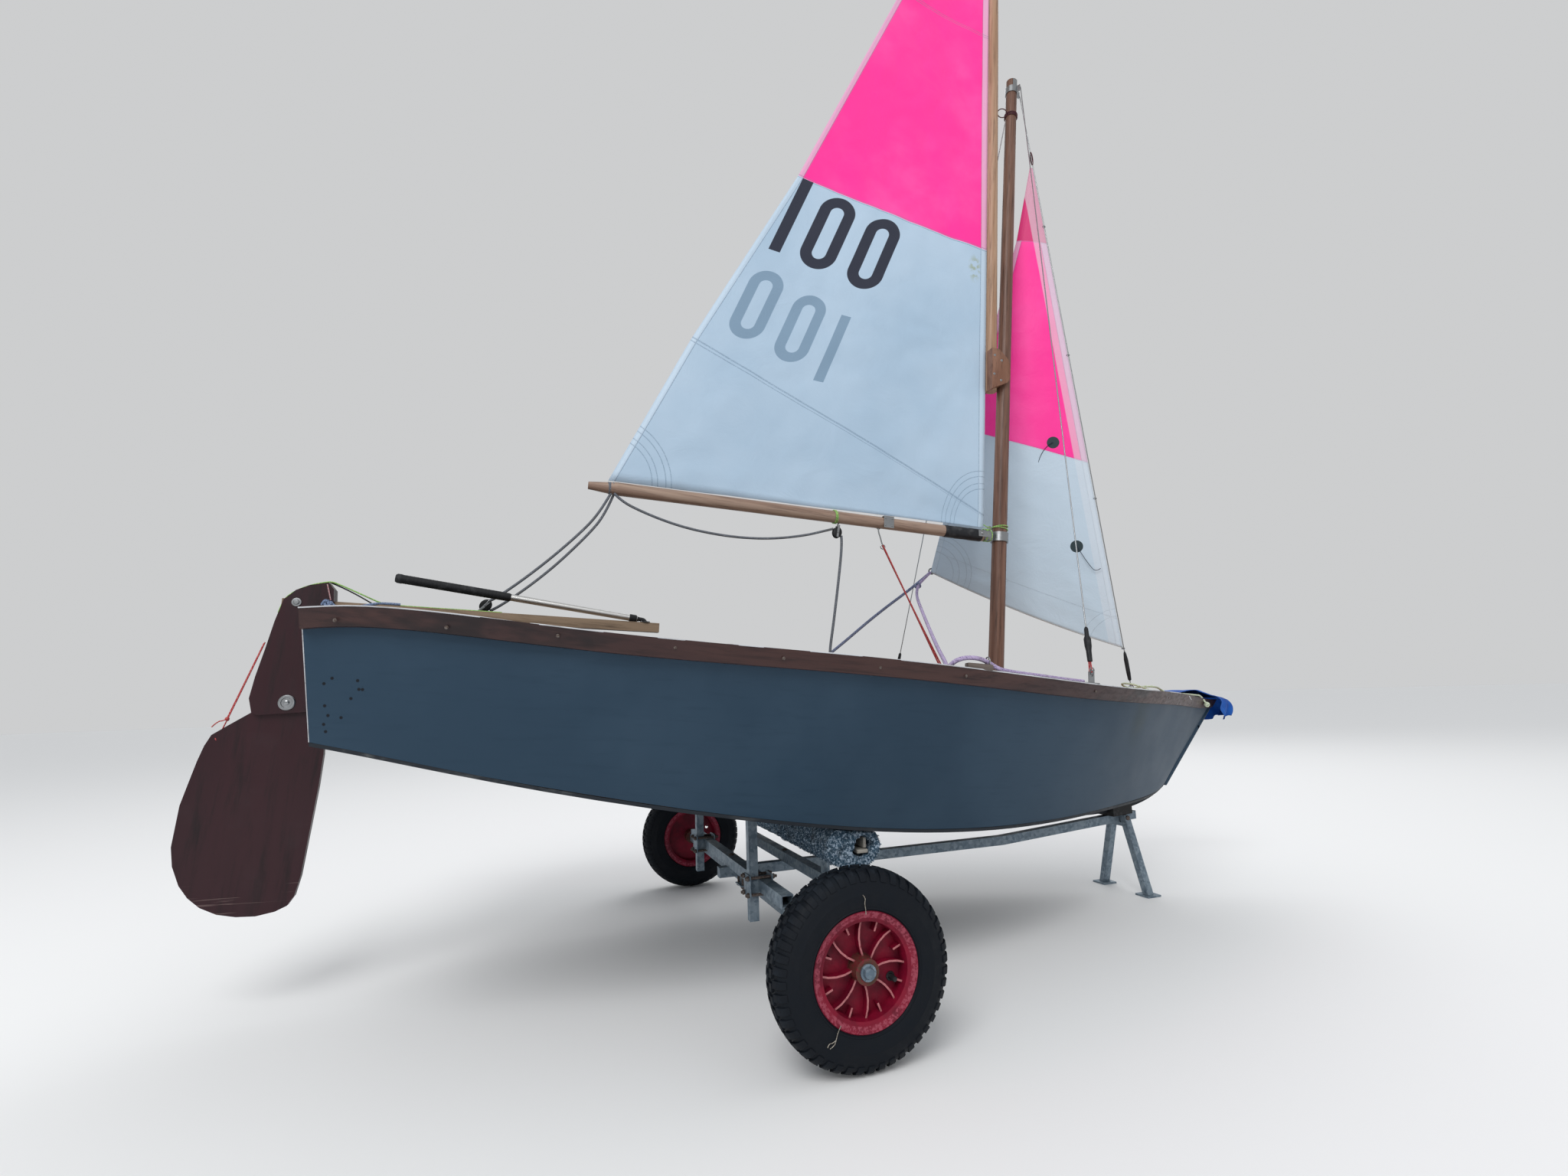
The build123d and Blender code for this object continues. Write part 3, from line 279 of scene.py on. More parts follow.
def strake_finish():
    """Dark varnished wood with patches, and a painted highlight, broken up, where it faces up"""
    timber = wood("strake wood", BOAT, (18, 1, 1), (STRAKE_DARK, STRAKE, (0.058, 0.025, 0.021)),
        grain=90)
    boat = timber.place(*BOAT)
    patch = timber.noise(timber.place(*BOAT, (3, 1, 1)), 7, 4)
    colour = timber.mix(patch.between(0.52, 0.62), timber.colour, STRAKE_DARK)
    # Painted highlight on the faces that look up, broken into patches by noise
    up_facing_highlight = timber.axes(timber.add("NewGeometry", output="Normal"))[2].between(0.15, 0.5)
    mottling = timber.noise(boat, 30, 4).between(0.22, 0.45)
    colour = timber.mix(up_facing_highlight * mottling * 0.8, colour, STRAKE_HIGHLIGHT)
    timber.set(Base_Color=colour)
    return timber


dress(strake_finish(), "rubbing_strake_port", "rubbing_strake_starboard", "mast_partner")


# Strake screws: countersunk iron heads, a little rusty, in shallow sunk holes along each rubbing
# strake. Two sit in each stretch of the strake's line.


def framed(axes):
    """The matrix of a frame given by its place and its turn about Y"""
    return Matrix.Translation(axes[0]) @ Matrix.Rotation(axes[1][1], 4, "Y")


TO_BOAT = framed(BOAT)
# Where the strakes' outer faces run, in the boat's frame: along, half breadth, sheer
STRAKE_LINE = [(0.02, 0.586, 0.0), (0.45, 0.672, 0.0), (0.95, 0.723, -0.014),
    (1.45, 0.714, -0.019), (1.95, 0.628, -0.028), (2.45, 0.43, -0.017), (2.83, 0.212, -0.008)]


def fixed(thing, finish, body):
    """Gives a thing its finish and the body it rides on"""
    thing.data.materials.append(finish.material)
    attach(thing, body)
    return thing


def piece(name, bm, finish, body="root", sharp=35):
    """Turns a finished bmesh into a piece that rides on a body"""
    mesh = bpy.data.meshes.new(name)
    bm.to_mesh(mesh)
    bm.free()
    mesh.shade_smooth()
    mesh.set_sharp_from_angle(angle=radians(sharp))
    return fixed(link(name, mesh), finish, body)


def shift(x, y, z):
    """A move without a turn"""
    return Matrix.Translation((x, y, z))


def tilted(degrees):
    """A turn about the axis across the boat"""
    return Matrix.Rotation(radians(degrees), 4, "Y")


def put(bm, part, place):
    """Adds a small bmesh to a larger one at a place, with its faces pointing outwards"""
    bmesh.ops.transform(part, matrix=place, verts=part.verts)
    bmesh.ops.recalc_face_normals(part, faces=part.faces)
    mesh = bpy.data.meshes.new("part")
    part.to_mesh(mesh)
    part.free()
    bm.from_mesh(mesh)
    bpy.data.meshes.remove(mesh)


def aim(point, direction):
    """A place at a point whose own Z looks along a direction"""
    turn = Vector(direction).to_track_quat("Z", "Y")
    return Matrix.Translation(point) @ turn.to_matrix().to_4x4()


def whirled(bm, geom, steps):
    """A line carried once round its own Z, with its ends merged"""
    bmesh.ops.spin(bm, geom=geom, cent=(0, 0, 0), axis=(0, 0, 1), angle=2 * pi, steps=steps,
        use_merge=True)
    bmesh.ops.remove_doubles(bm, verts=bm.verts, dist=1e-6)
    return bm


def softened(bm, edge, segments):
    """Takes the sharpness off every edge"""
    bmesh.ops.bevel(bm, geom=list(bm.edges), offset=edge, offset_type="OFFSET", segments=segments,
        profile=0.5, affect="EDGES", material=-1)
    return bm


def turned(profile, steps=24):
    """A shape turned on a lathe from (radius, height) steps, closed at both ends"""
    bm = bmesh.new()
    verts = [bm.verts.new((radius, 0, height)) for radius, height in profile]
    edges = [bm.edges.new(pair) for pair in zip(verts, verts[1:])]
    return whirled(bm, verts + edges, steps)


def hoop(radius, wire, around=28, segments=8):
    """A ring of round wire about its own Z"""
    bm = bmesh.new()
    tilt = shift(radius, 0, 0) @ Matrix.Rotation(pi / 2, 4, "X")
    bmesh.ops.create_circle(bm, segments=segments, radius=wire, matrix=tilt)
    return whirled(bm, list(bm.verts) + list(bm.edges), around)


def block(size, edge):
    """A box about its own origin with rounded edges"""
    bm = bmesh.new()
    bmesh.ops.create_cube(bm, size=1, matrix=Matrix.Diagonal((*size, 1)))
    return softened(bm, edge, 2)


def nut(radius, height, edge=0.0008):
    """A hexagon nut or bolt head on its own Z"""
    bm = bmesh.new()
    lift = shift(0, 0, height / 2)
    bmesh.ops.create_cone(bm, cap_ends=True, segments=6, radius1=radius, radius2=radius,
        depth=height, matrix=lift)
    return softened(bm, edge, 1)


rust = Finish("rusty iron", Metallic=0.3)
scale = rust.noise(rust.place(), 240, 5, 0.7)
colour = rust.mix(scale.between(0.35, 0.65), (0.06, 0.034, 0.024), (0.15, 0.13, 0.12))
rust.set(Base_Color=colour, Roughness=scale.between(0.3, 0.7, 0.9, 0.55))
rust.bump(scale, 0.0008)
SCREW_DROP, PROUD = 0.021, 0.0002
bm = bmesh.new()
for side in (1, -1):
    for first, second in zip(STRAKE_LINE, STRAKE_LINE[1:]):
        for share in (0.12, 0.62):
            normal = Vector((first[1] - second[1], second[0] - first[0], 0)).normalized()
            spot = Vector(first).lerp(Vector(second), share) + normal * PROUD
            spot.z -= SCREW_DROP
            spot.y, normal.y = spot.y * side, normal.y * side
            head = turned([(0, 0.0006), (0.003, 0.0004), (0.0042, -0.001)], 12)
            put(bm, head, TO_BOAT @ aim(spot, normal))
piece("strake_screws", bm, rust)


# Inside the hull: varnished plywood benches, thwart, case, bulkhead and mast step, with a
# plywood foredeck over the bow.
INNER = (0.1, 0.045, 0.02), (0.26, 0.14, 0.06), (0.34, 0.2, 0.1)
DECK = (0.12, 0.055, 0.025), (0.28, 0.15, 0.07), (0.36, 0.21, 0.11)
inside = wood("inner ply", BOAT, (10, 1, 1), INNER, grain=50)
dress(inside, "bench_port", "bench_starboard", "thwart", "centreboard_case", "mast_bulkhead",
    "mast_step")
dress(wood("deck ply", BOAT, (8, 1, 1), DECK, grain=42), "foredeck")


# Spars: a dark varnished mast, a paler yard and a weathered boom, all of round pine with its
# grain lengthwise. The yard slides on the mast by jaws of red-brown plywood.
MAST = (0.68467, 0, 0.78622), (0, radians(6.94), 0)
MAST_WOOD = (0.022, 0.01, 0.008), (0.105, 0.05, 0.034), (0.19, 0.1, 0.07)
YARD_WOOD = (0.1, 0.055, 0.035), (0.3, 0.17, 0.1), (0.42, 0.27, 0.18)
JAW_WOOD = (0.07, 0.028, 0.018), (0.17, 0.075, 0.045), (0.25, 0.13, 0.085)
BOOM_WOOD = (0.1, 0.065, 0.05), (0.24, 0.155, 0.115), (0.36, 0.26, 0.2)
dress(wood("mast wood", MAST, (1, 1, 24), MAST_WOOD, grain=160, ring=2), "mast")
dress(wood("yard wood", MAST, (1, 1, 26), YARD_WOOD, grain=140, ring=2), "yard")
dress(wood("jaw ply", MAST, (1, 1, 6), JAW_WOOD, grain=110), "yard_jaws")
dress(wood("boom wood", MAST, (24, 1, 1), BOOM_WOOD, grain=150, ring=2), "boom")


# Stainless fittings and wires: the hounds band, chainplates, stemhead, gooseneck, rudder hangings
# and standing rigging, all dulled by weather.
steel = Finish("stainless", Metallic=1.0, Base_Color=(0.3, 0.31, 0.32))
smudge = steel.noise(steel.place(), 60, 3)
steel.set(Roughness=smudge.between(0.2, 0.8, 0.22, 0.45))
steel.bump(smudge, 0.0002)
steel.slot = "stainless"
dress(steel, "hounds_band", "chainplates", "stemhead_plate", "gooseneck", "gudgeons", "pintles")
dress(steel, "shroud_port", "shroud_starboard", "forestay")


# Spar fittings: stainless boom plate, gooseneck fork and pin, jaw bolts, masthead sheave and the
# black tape bound round the boom's forward end, with a green lashing at the tack.
TO_MAST = framed(MAST)
TO_BOOM = TO_MAST @ shift(0, 0, 0.556) @ tilted(-3)
BOOM_RADIUS = 0.0215
SIDEWAYS = (0, -1, 0)
bm = bmesh.new()
put(bm, block((0.04, 0.0016, 0.042), 0.0006), TO_BOOM @ shift(-0.486, -0.0224, 0))
put(bm, block((0.04, 0.02, 0.0016), 0.0006), TO_BOOM @ shift(-0.486, -0.013, BOOM_RADIUS))
for x, z in ((-0.499, 0.013), (-0.473, 0.013), (-0.499, -0.013), (-0.473, -0.013)):
    screw = turned([(0, 0.0016), (0.0028, 0.0012), (0.0038, 0)], 12)
    put(bm, screw, TO_BOOM @ aim((x, -0.0232, z), SIDEWAYS))
for out in (-0.0235, 0.0235):
    put(bm, block((0.052, 0.0025, 0.024), 0.001), TO_BOOM @ shift(-0.083, out, 0.003))
pin = turned([(0, -0.002), (0.006, -0.002), (0.006, 0.001), (0.004, 0.003), (0, 0.003)], 16)
put(bm, pin, TO_BOOM @ aim((-0.092, -0.025, 0.003), SIDEWAYS))
ear = [(0.0045, -0.002), (0.01, -0.002), (0.01, 0.002), (0.0045, 0.002), (0.0045, -0.002)]
put(bm, turned(ear), TO_MAST @ aim((-0.046, 0, 0.586), (0, 1, 0)))
piece("boom_fittings", bm, steel, "boom_and_yard")

JAW_FACE = 0.0402
bm = bmesh.new()
for x, up in ((-0.04, 1.185), (-0.04, 1.27), (-0.072, 1.205), (-0.072, 1.285)):
    for side in (-1, 1):
        head = turned([(0, 0.003), (0.0038, 0.0022), (0.0055, 0)], 14)
        put(bm, head, TO_MAST @ aim((x, side * JAW_FACE, up), (0, side, 0)))
piece("jaw_bolts", bm, steel, "boom_and_yard")

tape = Finish("black tape", Specular_IOR_Level=0.3)
wound = tape.noise(tape.place(*MAST, (0.1, 1, 1)), 60, 2)
rub = tape.noise(tape.place(), 30, 4)
colour = tape.mix(rub.between(0.5, 0.75), (0.01, 0.011, 0.014), (0.05, 0.052, 0.055))
tape.set(Base_Color=colour, Roughness=rub.between(0.3, 0.7, 0.4, 0.7))
tape.bump(wound + rub * 0.5, 0.001)
tape.slot = "chock_rubber"
bm = bmesh.new()
wrap = [(BOOM_RADIUS, 0), (0.0232, 0.001), (0.0236, 0.05), (0.0229, 0.052), (0.0234, 0.11),
    (0.0227, 0.112)]
wrap += [(0.0231, 0.158), (BOOM_RADIUS, 0.16)]
put(bm, turned(wrap, 28), TO_BOOM @ aim((-0.088, 0, 0), (-1, 0, 0)))
piece("boom_tape", bm, tape, "boom_and_yard")


def cord_finish(name, main, fleck, share=0.55):
    """Braided rope: two yarns, each in short flecks, and a knobbly surface"""
    braid = Finish(name, Specular_IOR_Level=0.25)
    yarn = braid.noise(braid.place(), 420, 2)
    dirt = braid.noise(braid.place(), 25, 3)
    colour = braid.mix(yarn.between(share - 0.03, share + 0.03), main, fleck)
    colour = braid.mix(dirt.between(0.45, 0.8, 0.0, 0.4), colour, (0.12, 0.11, 0.09))
    braid.set(Base_Color=colour, Roughness=dirt.between(0.2, 0.8, 0.65, 0.85))
    braid.bump(yarn, 0.0009, 0.8)
    braid.slot = "sail_cloth"
    return braid


def route(name, points, diameter):
    """One smooth curve of round rope or wire along its points"""
    curve = bpy.data.curves.new(name, "CURVE")
    curve.dimensions = "3D"
    curve.bevel_depth, curve.bevel_resolution, curve.use_fill_caps = diameter / 2, 3, True
    run = curve.splines.new("NURBS")
    run.points.add(len(points) - 1)
    for at, point in zip(run.points, points):
        at.co = (*point, 1)
    run.order_u, run.use_endpoint_u = min(3, len(points)), True
    run.resolution_u = 8
    return link(name, curve)


def line(name, points, diameter, finish, body="root"):
    """A rope or wire that stays with one body"""
    return fixed(route(name, points, diameter), finish, body)


def jointed(name, ropes, finish):
    """Ropes given as points, made into one smoothly shaded mesh"""
    bm = bmesh.new()
    for points, diameter in ropes:
        curve = route(name, points, diameter)
        mesh = bpy.data.meshes.new_from_object(curve)
        bm.from_mesh(mesh)
        bpy.data.meshes.remove(mesh)
        spline = curve.data
        bpy.data.objects.remove(curve)
        bpy.data.curves.remove(spline)
    mesh = bpy.data.meshes.new(name)
    bm.to_mesh(mesh)
    bm.free()
    mesh.shade_smooth()
    mesh.materials.append(finish.material)
    thing = link(name, mesh)
    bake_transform(thing)


green_cord = cord_finish("green cord", (0.18, 0.42, 0.1), (0.5, 0.58, 0.22))
bm = bmesh.new()
for x, lean in ((-0.052, 0.2), (-0.061, -0.25), (-0.069, 0.1)):
    put(bm, hoop(0.0235, 0.0019, 24, 7), TO_BOOM @ aim((x, 0, 0.004), (1, lean, lean * 0.7)))
put(bm, hoop(0.03, 0.0018, 28, 7), TO_MAST @ aim((0.0, 0, 0.59), (0.12, 0, 1)))
put(bm, hoop(0.0302, 0.0018, 28, 7), TO_MAST @ aim((0.0, 0, 0.598), (-0.1, 0.05, 1)))
piece("tack_lashing", bm, green_cord, "boom_and_yard")
run = [(-0.058, -0.024, 0.02), (-0.066, -0.034, 0.03), (-0.08, -0.036, 0.024)]
run = [TO_BOOM @ Vector(at) for at in run + [(-0.094, -0.033, 0.034)]]
line("tack_lashing_end", run, 0.0036, green_cord, "boom_and_yard")

dark_cord = cord_finish("dark red cord", (0.045, 0.014, 0.02), (0.16, 0.05, 0.06))
bm = bmesh.new()
for height in (-0.006, 0, 0.006):
    put(bm, hoop(0.0262, 0.0021, 26, 7), shift(0, 0, height))
put(bm, hoop(0.02, 0.0021, 24, 7), shift(-0.045, 0, 0.002) @ aim((0, 0, 0), (0.3, 0, 1)))
bmesh.ops.transform(bm, matrix=TO_MAST @ shift(0, 0, 2.445), verts=bm.verts)
piece("masthead_binding", bm, dark_cord)

halyard_cord = cord_finish("halyard cord", (0.36, 0.16, 0.17), (0.4, 0.36, 0.36))
bm = bmesh.new()
sheave = turned([(0.003, -0.004), (0.012, -0.004), (0.009, 0), (0.012, 0.004), (0.003, 0.004)], 24)
put(bm, sheave, TO_MAST @ aim((0.0, 0, 2.606), (0, 1, 0)))
for side in (-1, 1):
    put(bm, block((0.02, 0.0016, 0.034), 0.0006), TO_MAST @ shift(0, side * 0.0236, 2.602))
to_cleat = TO_MAST @ Matrix.Rotation(radians(32), 4, "Z")
put(bm, block((0.01, 0.01, 0.075), 0.004), to_cleat @ shift(0.037, 0, 0.15))
put(bm, block((0.014, 0.014, 0.02), 0.003), to_cleat @ shift(0.0305, 0, 0.15))
piece("mast_fittings", bm, steel)
run = [(0.0268, 0, 2.59), (0.027, 0, 1.9), (0.0275, 0, 1.1), (0.029, 0, 0.4), (0.0335, 0, 0.178)]
line("halyard_fall", [to_cleat @ Vector(at) for at in run], 0.004, halyard_cord)
bm = bmesh.new()
for height, lean in ((0.146, 0.5), (0.152, -0.5), (0.156, 0.45), (0.16, -0.4)):
    ring = hoop(0.03, 0.0022, 26, 7)
    bmesh.ops.scale(ring, vec=(0.3, 0.95, 1), verts=ring.verts)
    put(bm, ring, to_cleat @ aim((0.04, 0, height - 0.004), (1, lean, 0)))
piece("halyard_hank", bm, halyard_cord)


# Standing rigging ends: black tape over the wire clips, red lashings and a shackle at each
# chainplate, a taped foot on the forestay, and the jib's steel hanks and head lashing.
red_cord = cord_finish("red cord", (0.34, 0.022, 0.03), (0.55, 0.16, 0.14))
for side, name in ((-1, "starboard"), (1, "port")):
    foot, top = Vector((0.5848, side * 0.603, 0.8036)), Vector((1.0133, side * 0.0388, 3.3362))
    up = (top - foot).normalized()
    bm = bmesh.new()
    wrap = [(0.002, 0), (0.0072, 0.003), (0.0078, 0.035), (0.01, 0.05), (0.0104, 0.072)]
    wrap += [(0.0066, 0.082), (0.006, 0.104), (0.0026, 0.11)]
    put(bm, turned(wrap, 16), aim(foot + up * 0.028, up))
    piece("shroud_tape_" + name, bm, tape)
    for k, (x, y) in enumerate(((-0.0045, 0.002), (0, -0.003), (0.0045, 0.002))):
        ends = [foot + Vector((x, y, -0.003)), foot + up * 0.036 + Vector((x * 0.6, y * 0.6, 0))]
        line("shroud_lashing_%s_%d" % (name, k + 1), ends, 0.004, red_cord)
    bm = bmesh.new()
    put(bm, hoop(0.0085, 0.0022, 22, 8), aim(foot + Vector((0, 0, -0.004)), (1, 0.1, 0)))
    put(bm, hoop(0.007, 0.0018, 22, 8), aim(foot + Vector((0.003, 0, 0.004)), (0.1, 1, 0)))
    piece("shroud_shackle_" + name, bm, steel)
stay_foot, stay_top = Vector((1.32289, 0, 0.74889)), Vector((1.03778, 0, 3.33322))
up = (stay_top - stay_foot).normalized()
bm = bmesh.new()
wrap = [(0.002, 0), (0.0062, 0.004), (0.0078, 0.03), (0.008, 0.085), (0.005, 0.11),
    (0.0022, 0.118)]
put(bm, turned(wrap, 16), aim(stay_foot + up * 0.03, up))
piece("forestay_tape", bm, tape)
bm = bmesh.new()
put(bm, hoop(0.009, 0.0022, 22, 8), aim(stay_foot + Vector((0, 0, 0.004)), (0.2, 1, 0)))
for height in (0.16, 0.78, 1.4, 1.98):
    spot = stay_foot + up * height
    put(bm, hoop(0.0055, 0.0016, 18, 7), aim(spot + Vector((-0.003, 0, 0)), (0.2, 0.3, 1)))
piece("jib_hanks", bm, steel)
bm = bmesh.new()
for turn in (0.3, -0.3, 0.0):
    ring = hoop(0.03, 0.002, 26, 7)
    bmesh.ops.scale(ring, vec=(0.22, 1, 1), verts=ring.verts)
    put(bm, ring, aim(stay_foot + up * 2.3, (1, turn, 0.1)))
piece("jib_head_lashing", bm, dark_cord)


# Rudder: stock and blade of dark red-brown varnished plywood, a little dusty and with faint
# scratches low on the blade. The blade turns on a bolt between two large ringed washers.
TO_RUDDER = shift(-1.44473, 0, 0.97776) @ tilted(-2.06)
CHEEK_FACE = 0.0222
rudder_wood = wood("rudder ply", BOAT, (1, 1, 9),
    ((0.004, 0.0018, 0.0028), (0.019, 0.0042, 0.0075), (0.03, 0.006, 0.01)), grain=40, gloss=0.3)
spot = rudder_wood.place()
scratch = rudder_wood.noise(rudder_wood.place((0, 0, 0), (0, radians(2), 0), (1, 1, 0.03)), 5, 3)
low = rudder_wood.axes(spot)[2].below(0.3, 0.36) * scratch.between(0.62, 0.66)
dusty = rudder_wood.noise(spot, 9, 4).between(0.5, 0.8, 0.0, 0.25)
colour = rudder_wood.mix(low * 0.35, rudder_wood.colour, (0.2, 0.14, 0.13))
rudder_wood.set(Base_Color=rudder_wood.mix(dusty, colour, (0.04, 0.022, 0.026)))
dress(rudder_wood, "rudder_stock", "rudder_blade")
bm = bmesh.new()
for side in (-1, 1):
    disc = [(0, 0.0052), (0.005, 0.005), (0.0064, 0.004), (0.0066, 0.0016), (0.0125, 0.0012)]
    disc += [(0.0135, 0.003), (0.018, 0.0032), (0.02, 0.0018), (0.0202, -0.0005)]
    put(bm, turned(disc, 36), TO_RUDDER @ aim((-0.119, side * CHEEK_FACE, -0.185), (0, side, 0)))
    for z in (-0.04, -0.085, -0.135):
        dimple = turned([(0, 0.0008), (0.003, 0.0006), (0.0036, -0.0005)], 12)
        put(bm, dimple, TO_RUDDER @ aim((-0.04, side * CHEEK_FACE, z), (0, side, 0)))
piece("rudder_bolt", bm, steel, "rudder")


# Tiller: a tapered ash bar held in the stock's cheeks by one bolt, with a blue-grey rope tied
# round it, and a green cord that runs up the stock's edge, over its head and along the bar.
ASH = (0.07, 0.045, 0.03), (0.2, 0.135, 0.085), (0.3, 0.22, 0.15)
dress(wood("tiller wood", BOAT, (14, 1, 1), ASH, grain=110), "tiller")
bm = bmesh.new()
for side in (-1, 1):
    washer = [(0, 0.0052), (0.006, 0.0046), (0.0075, 0.0024), (0.0115, 0.002), (0.012, 0)]
    put(bm, turned(washer), TO_RUDDER @ aim((-0.102, side * CHEEK_FACE, 0.084), (0, side, 0)))
piece("tiller_bolt", bm, steel, "rudder")

green_run = [(-1.596, 0.0, 1.032), (-1.588, 0.0, 1.06), (-1.579, 0.0, 1.076),
    (-1.554, 0.0, 1.0958), (-1.521, 0.0, 1.1098), (-1.49, 0.0, 1.117), (-1.474, 0.0, 1.119),
    (-1.456, 0.002, 1.112), (-1.4, 0.004, 1.085), (-1.35, 0.004, 1.06), (-1.32, 0.004, 1.0548),
    (-1.22, 0.003, 1.0482), (-1.13, 0.004, 1.0424), (-1.03, 0.002, 1.036)]
line("green_line", green_run, 0.0042, green_cord, "rudder")
green_end = [(-1.478, 0.004, 1.117), (-1.43, 0.008, 1.097), (-1.372, 0.007, 1.0585)]
line("green_line_end", green_end, 0.004, tape, "rudder")
blue_grey = cord_finish("blue grey rope", (0.17, 0.23, 0.36), (0.05, 0.07, 0.12))
bm = bmesh.new()
for x, lean in ((-1.47, 0.1), (-1.4785, -0.16)):
    ring = hoop(0.02, 0.004, 30, 9)
    bmesh.ops.scale(ring, vec=(1.62, 1, 1), verts=ring.verts)
    turn = tilted(90) @ Matrix.Rotation(lean, 4, "X")
    put(bm, ring, shift(x, 0, 1.0405) @ turn)
piece("tiller_lashing", bm, blue_grey, "rudder")
knot = [(-1.474, -0.019, 1.064), (-1.483, -0.026, 1.056), (-1.478, -0.033, 1.045),
    (-1.466, -0.032, 1.05), (-1.47, -0.024, 1.062), (-1.46, -0.023, 1.046),
    (-1.43, -0.0215, 1.042), (-1.395, -0.02, 1.048), (-1.365, -0.016, 1.056),
    (-1.34, -0.008, 1.059), (-1.3, -0.006, 1.056)]
line("tiller_rope", knot, 0.0075, blue_grey, "rudder")
knot = [(-1.486, -0.021, 1.038), (-1.474, -0.031, 1.036), (-1.47, -0.032, 1.056),
    (-1.482, -0.03, 1.066), (-1.49, -0.021, 1.052)]
line("tiller_knot", knot, 0.0075, blue_grey, "rudder")
strap = [(-1.479, -0.0245, 1.108), (-1.474, -0.025, 1.088), (-1.469, -0.024, 1.064)]
line("stock_strap", strap, 0.0035, halyard_cord, "rudder")


# Blade lanyard: a thin red cord from the stock's after edge, knotted to a ring of cord that comes
# through the blade, with its tails left hanging.
lanyard = [(-0.178, 0, -0.02), (-0.216, 0, -0.118), (-0.255, 0, -0.216), (-0.274, 0, -0.262)]
second = [(-0.181, 0.003, -0.022), (-0.22, 0.004, -0.12), (-0.257, 0.002, -0.214)]
tails = [(-0.252, -0.003, -0.214), (-0.262, -0.006, -0.222), (-0.276, -0.004, -0.222),
    (-0.29, 0, -0.236)]
ropes = [([TO_RUDDER @ Vector(at) for at in run], 0.003) for run in (lanyard, second, tails)]
jointed("blade_lanyard", ropes, red_cord)
bm = bmesh.new()
for turn in ((1, 0.3, 0.4), (0.3, 0.4, -1), (0.7, -0.6, 0.6)):
    put(bm, hoop(0.004, 0.0017, 16, 7), TO_RUDDER @ aim((-0.257, 0, -0.218), turn))
for turn in ((1, 0.2, 0.4), (0.6, -0.5, 0.6)):
    put(bm, hoop(0.0085, 0.0015, 20, 7), TO_RUDDER @ aim((-0.279, 0, -0.268), turn))
piece("lanyard_knot", bm, red_cord, "blade")


# Tiller extension: a light alloy tube with a long black rubber grip, on a bent rubber joint that
# is bolted to the tiller's forward end.
tube = Finish("alloy tube", Metallic=1.0, Base_Color=(0.6, 0.6, 0.59))
rub = tube.noise(tube.place((0, 0, 0), (0, radians(9.4), 0), (0.04, 1, 1)), 90, 3)
tube.set(Roughness=rub.between(0.2, 0.8, 0.28, 0.5))
tube.bump(rub, 0.0002)
dress(tube, "tiller_extension")
black_rubber = Finish("black rubber", Roughness=0.62, Specular_IOR_Level=0.3)
mottling = black_rubber.noise(black_rubber.place(), 45, 4)
colour = black_rubber.mix(mottling.between(0.5, 0.8), (0.01, 0.011, 0.013), (0.04, 0.042, 0.046))
black_rubber.set(Base_Color=colour)
black_rubber.bump(black_rubber.noise(black_rubber.place(), 380, 2), 0.0004)
black_rubber.slot = "chock_rubber"
TILLER_TOP = (0.064, 0, 1)
tube_aft, tube_fore = Vector((-1.3126, 0, 1.133)), Vector((-0.6321, 0, 1.0186))
way = (tube_fore - tube_aft).normalized()
bm = bmesh.new()
grip = [(0, -0.004), (0.011, -0.003), (0.0135, 0.002), (0.0138, 0.012), (0.0128, 0.016)]
grip += [(0.0128, 0.29), (0.0122, 0.306), (0.0104, 0.312)]
put(bm, turned(grip, 28), aim(tube_aft, way))
for k in range(26):
    put(bm, hoop(0.0128, 0.0006, 28, 5), aim(tube_aft + way * (0.024 + 0.0102 * k), way))
piece("extension_grip", bm, black_rubber, "rudder")
bm = bmesh.new()
cap = [(0.0102, 0), (0.0118, 0.002), (0.0118, 0.02), (0.0095, 0.024), (0.0075, 0.026),
    (0.0075, 0.03)]
put(bm, turned(cap, 22), aim(tube_fore - way * 0.024, way))
plate = turned([(0, 0.005), (0.009, 0.0045), (0.016, 0.002), (0.017, 0)], 24)
put(bm, plate, aim((-0.606, 0, 1.0064), TILLER_TOP))
piece("extension_joint_ends", bm, black_rubber, "rudder")
bend = [(-0.628, 0, 1.0182), (-0.618, 0, 1.017), (-0.609, 0, 1.014), (-0.606, 0, 1.008)]
line("extension_joint", bend, 0.013, black_rubber, "rudder")
bm = bmesh.new()
for spot in ((-0.596, 0, 1.008), (-0.617, 0, 1.009)):
    put(bm, nut(0.005, 0.0035), aim(spot, TILLER_TOP))
piece("extension_bolts", bm, steel, "rudder")


# Mainsail: white polyester with a pink head, cut in panels that run across it and stitched with
# double rows. Its luff runs up the yard and its clew is made fast at the boom's end.
SAIL_WHITE = (0.42, 0.54, 0.665)
SAIL_GREY = (0.345, 0.47, 0.6)
SAIL_PINK = (0.95, 0.01, 0.29)
SAIL_ROSE = (0.98, 0.06, 0.36)
INK = (0.007, 0.011, 0.03)
INK_THROUGH = (0.15, 0.245, 0.35)
# Panel seams from the foot up: share of the height, luff and leech as (fore and aft, up), rise
SAIL_ROWS = [(0.0, (-0.074, 0.584), (-1.478, 0.503), 0.0),
    (0.093, (-0.073, 0.622), (-1.266, 1.056), 0.014),
    (0.388, (-0.099, 1.766), (-0.935, 1.818), 0.01), (0.711, (-0.126, 2.8), (-0.553, 2.85), 0.012),
    (1.0, (-0.149, 3.749), (-0.164, 3.779), 0.0)]
# Where the cloth is pulled: place in the sail, reach, height of the creases, how many round it
SAIL_PULLS = [((-1.47, 0.51), 0.42, 0.016, 4.5), ((-0.08, 0.59), 0.3, 0.012, 5.0),
    ((-0.1, 1.33), 0.46, 0.013, 6.0), ((-0.155, 3.75), 0.6, 0.01, 5.0)]
DIGIT_SLANT = 0.325
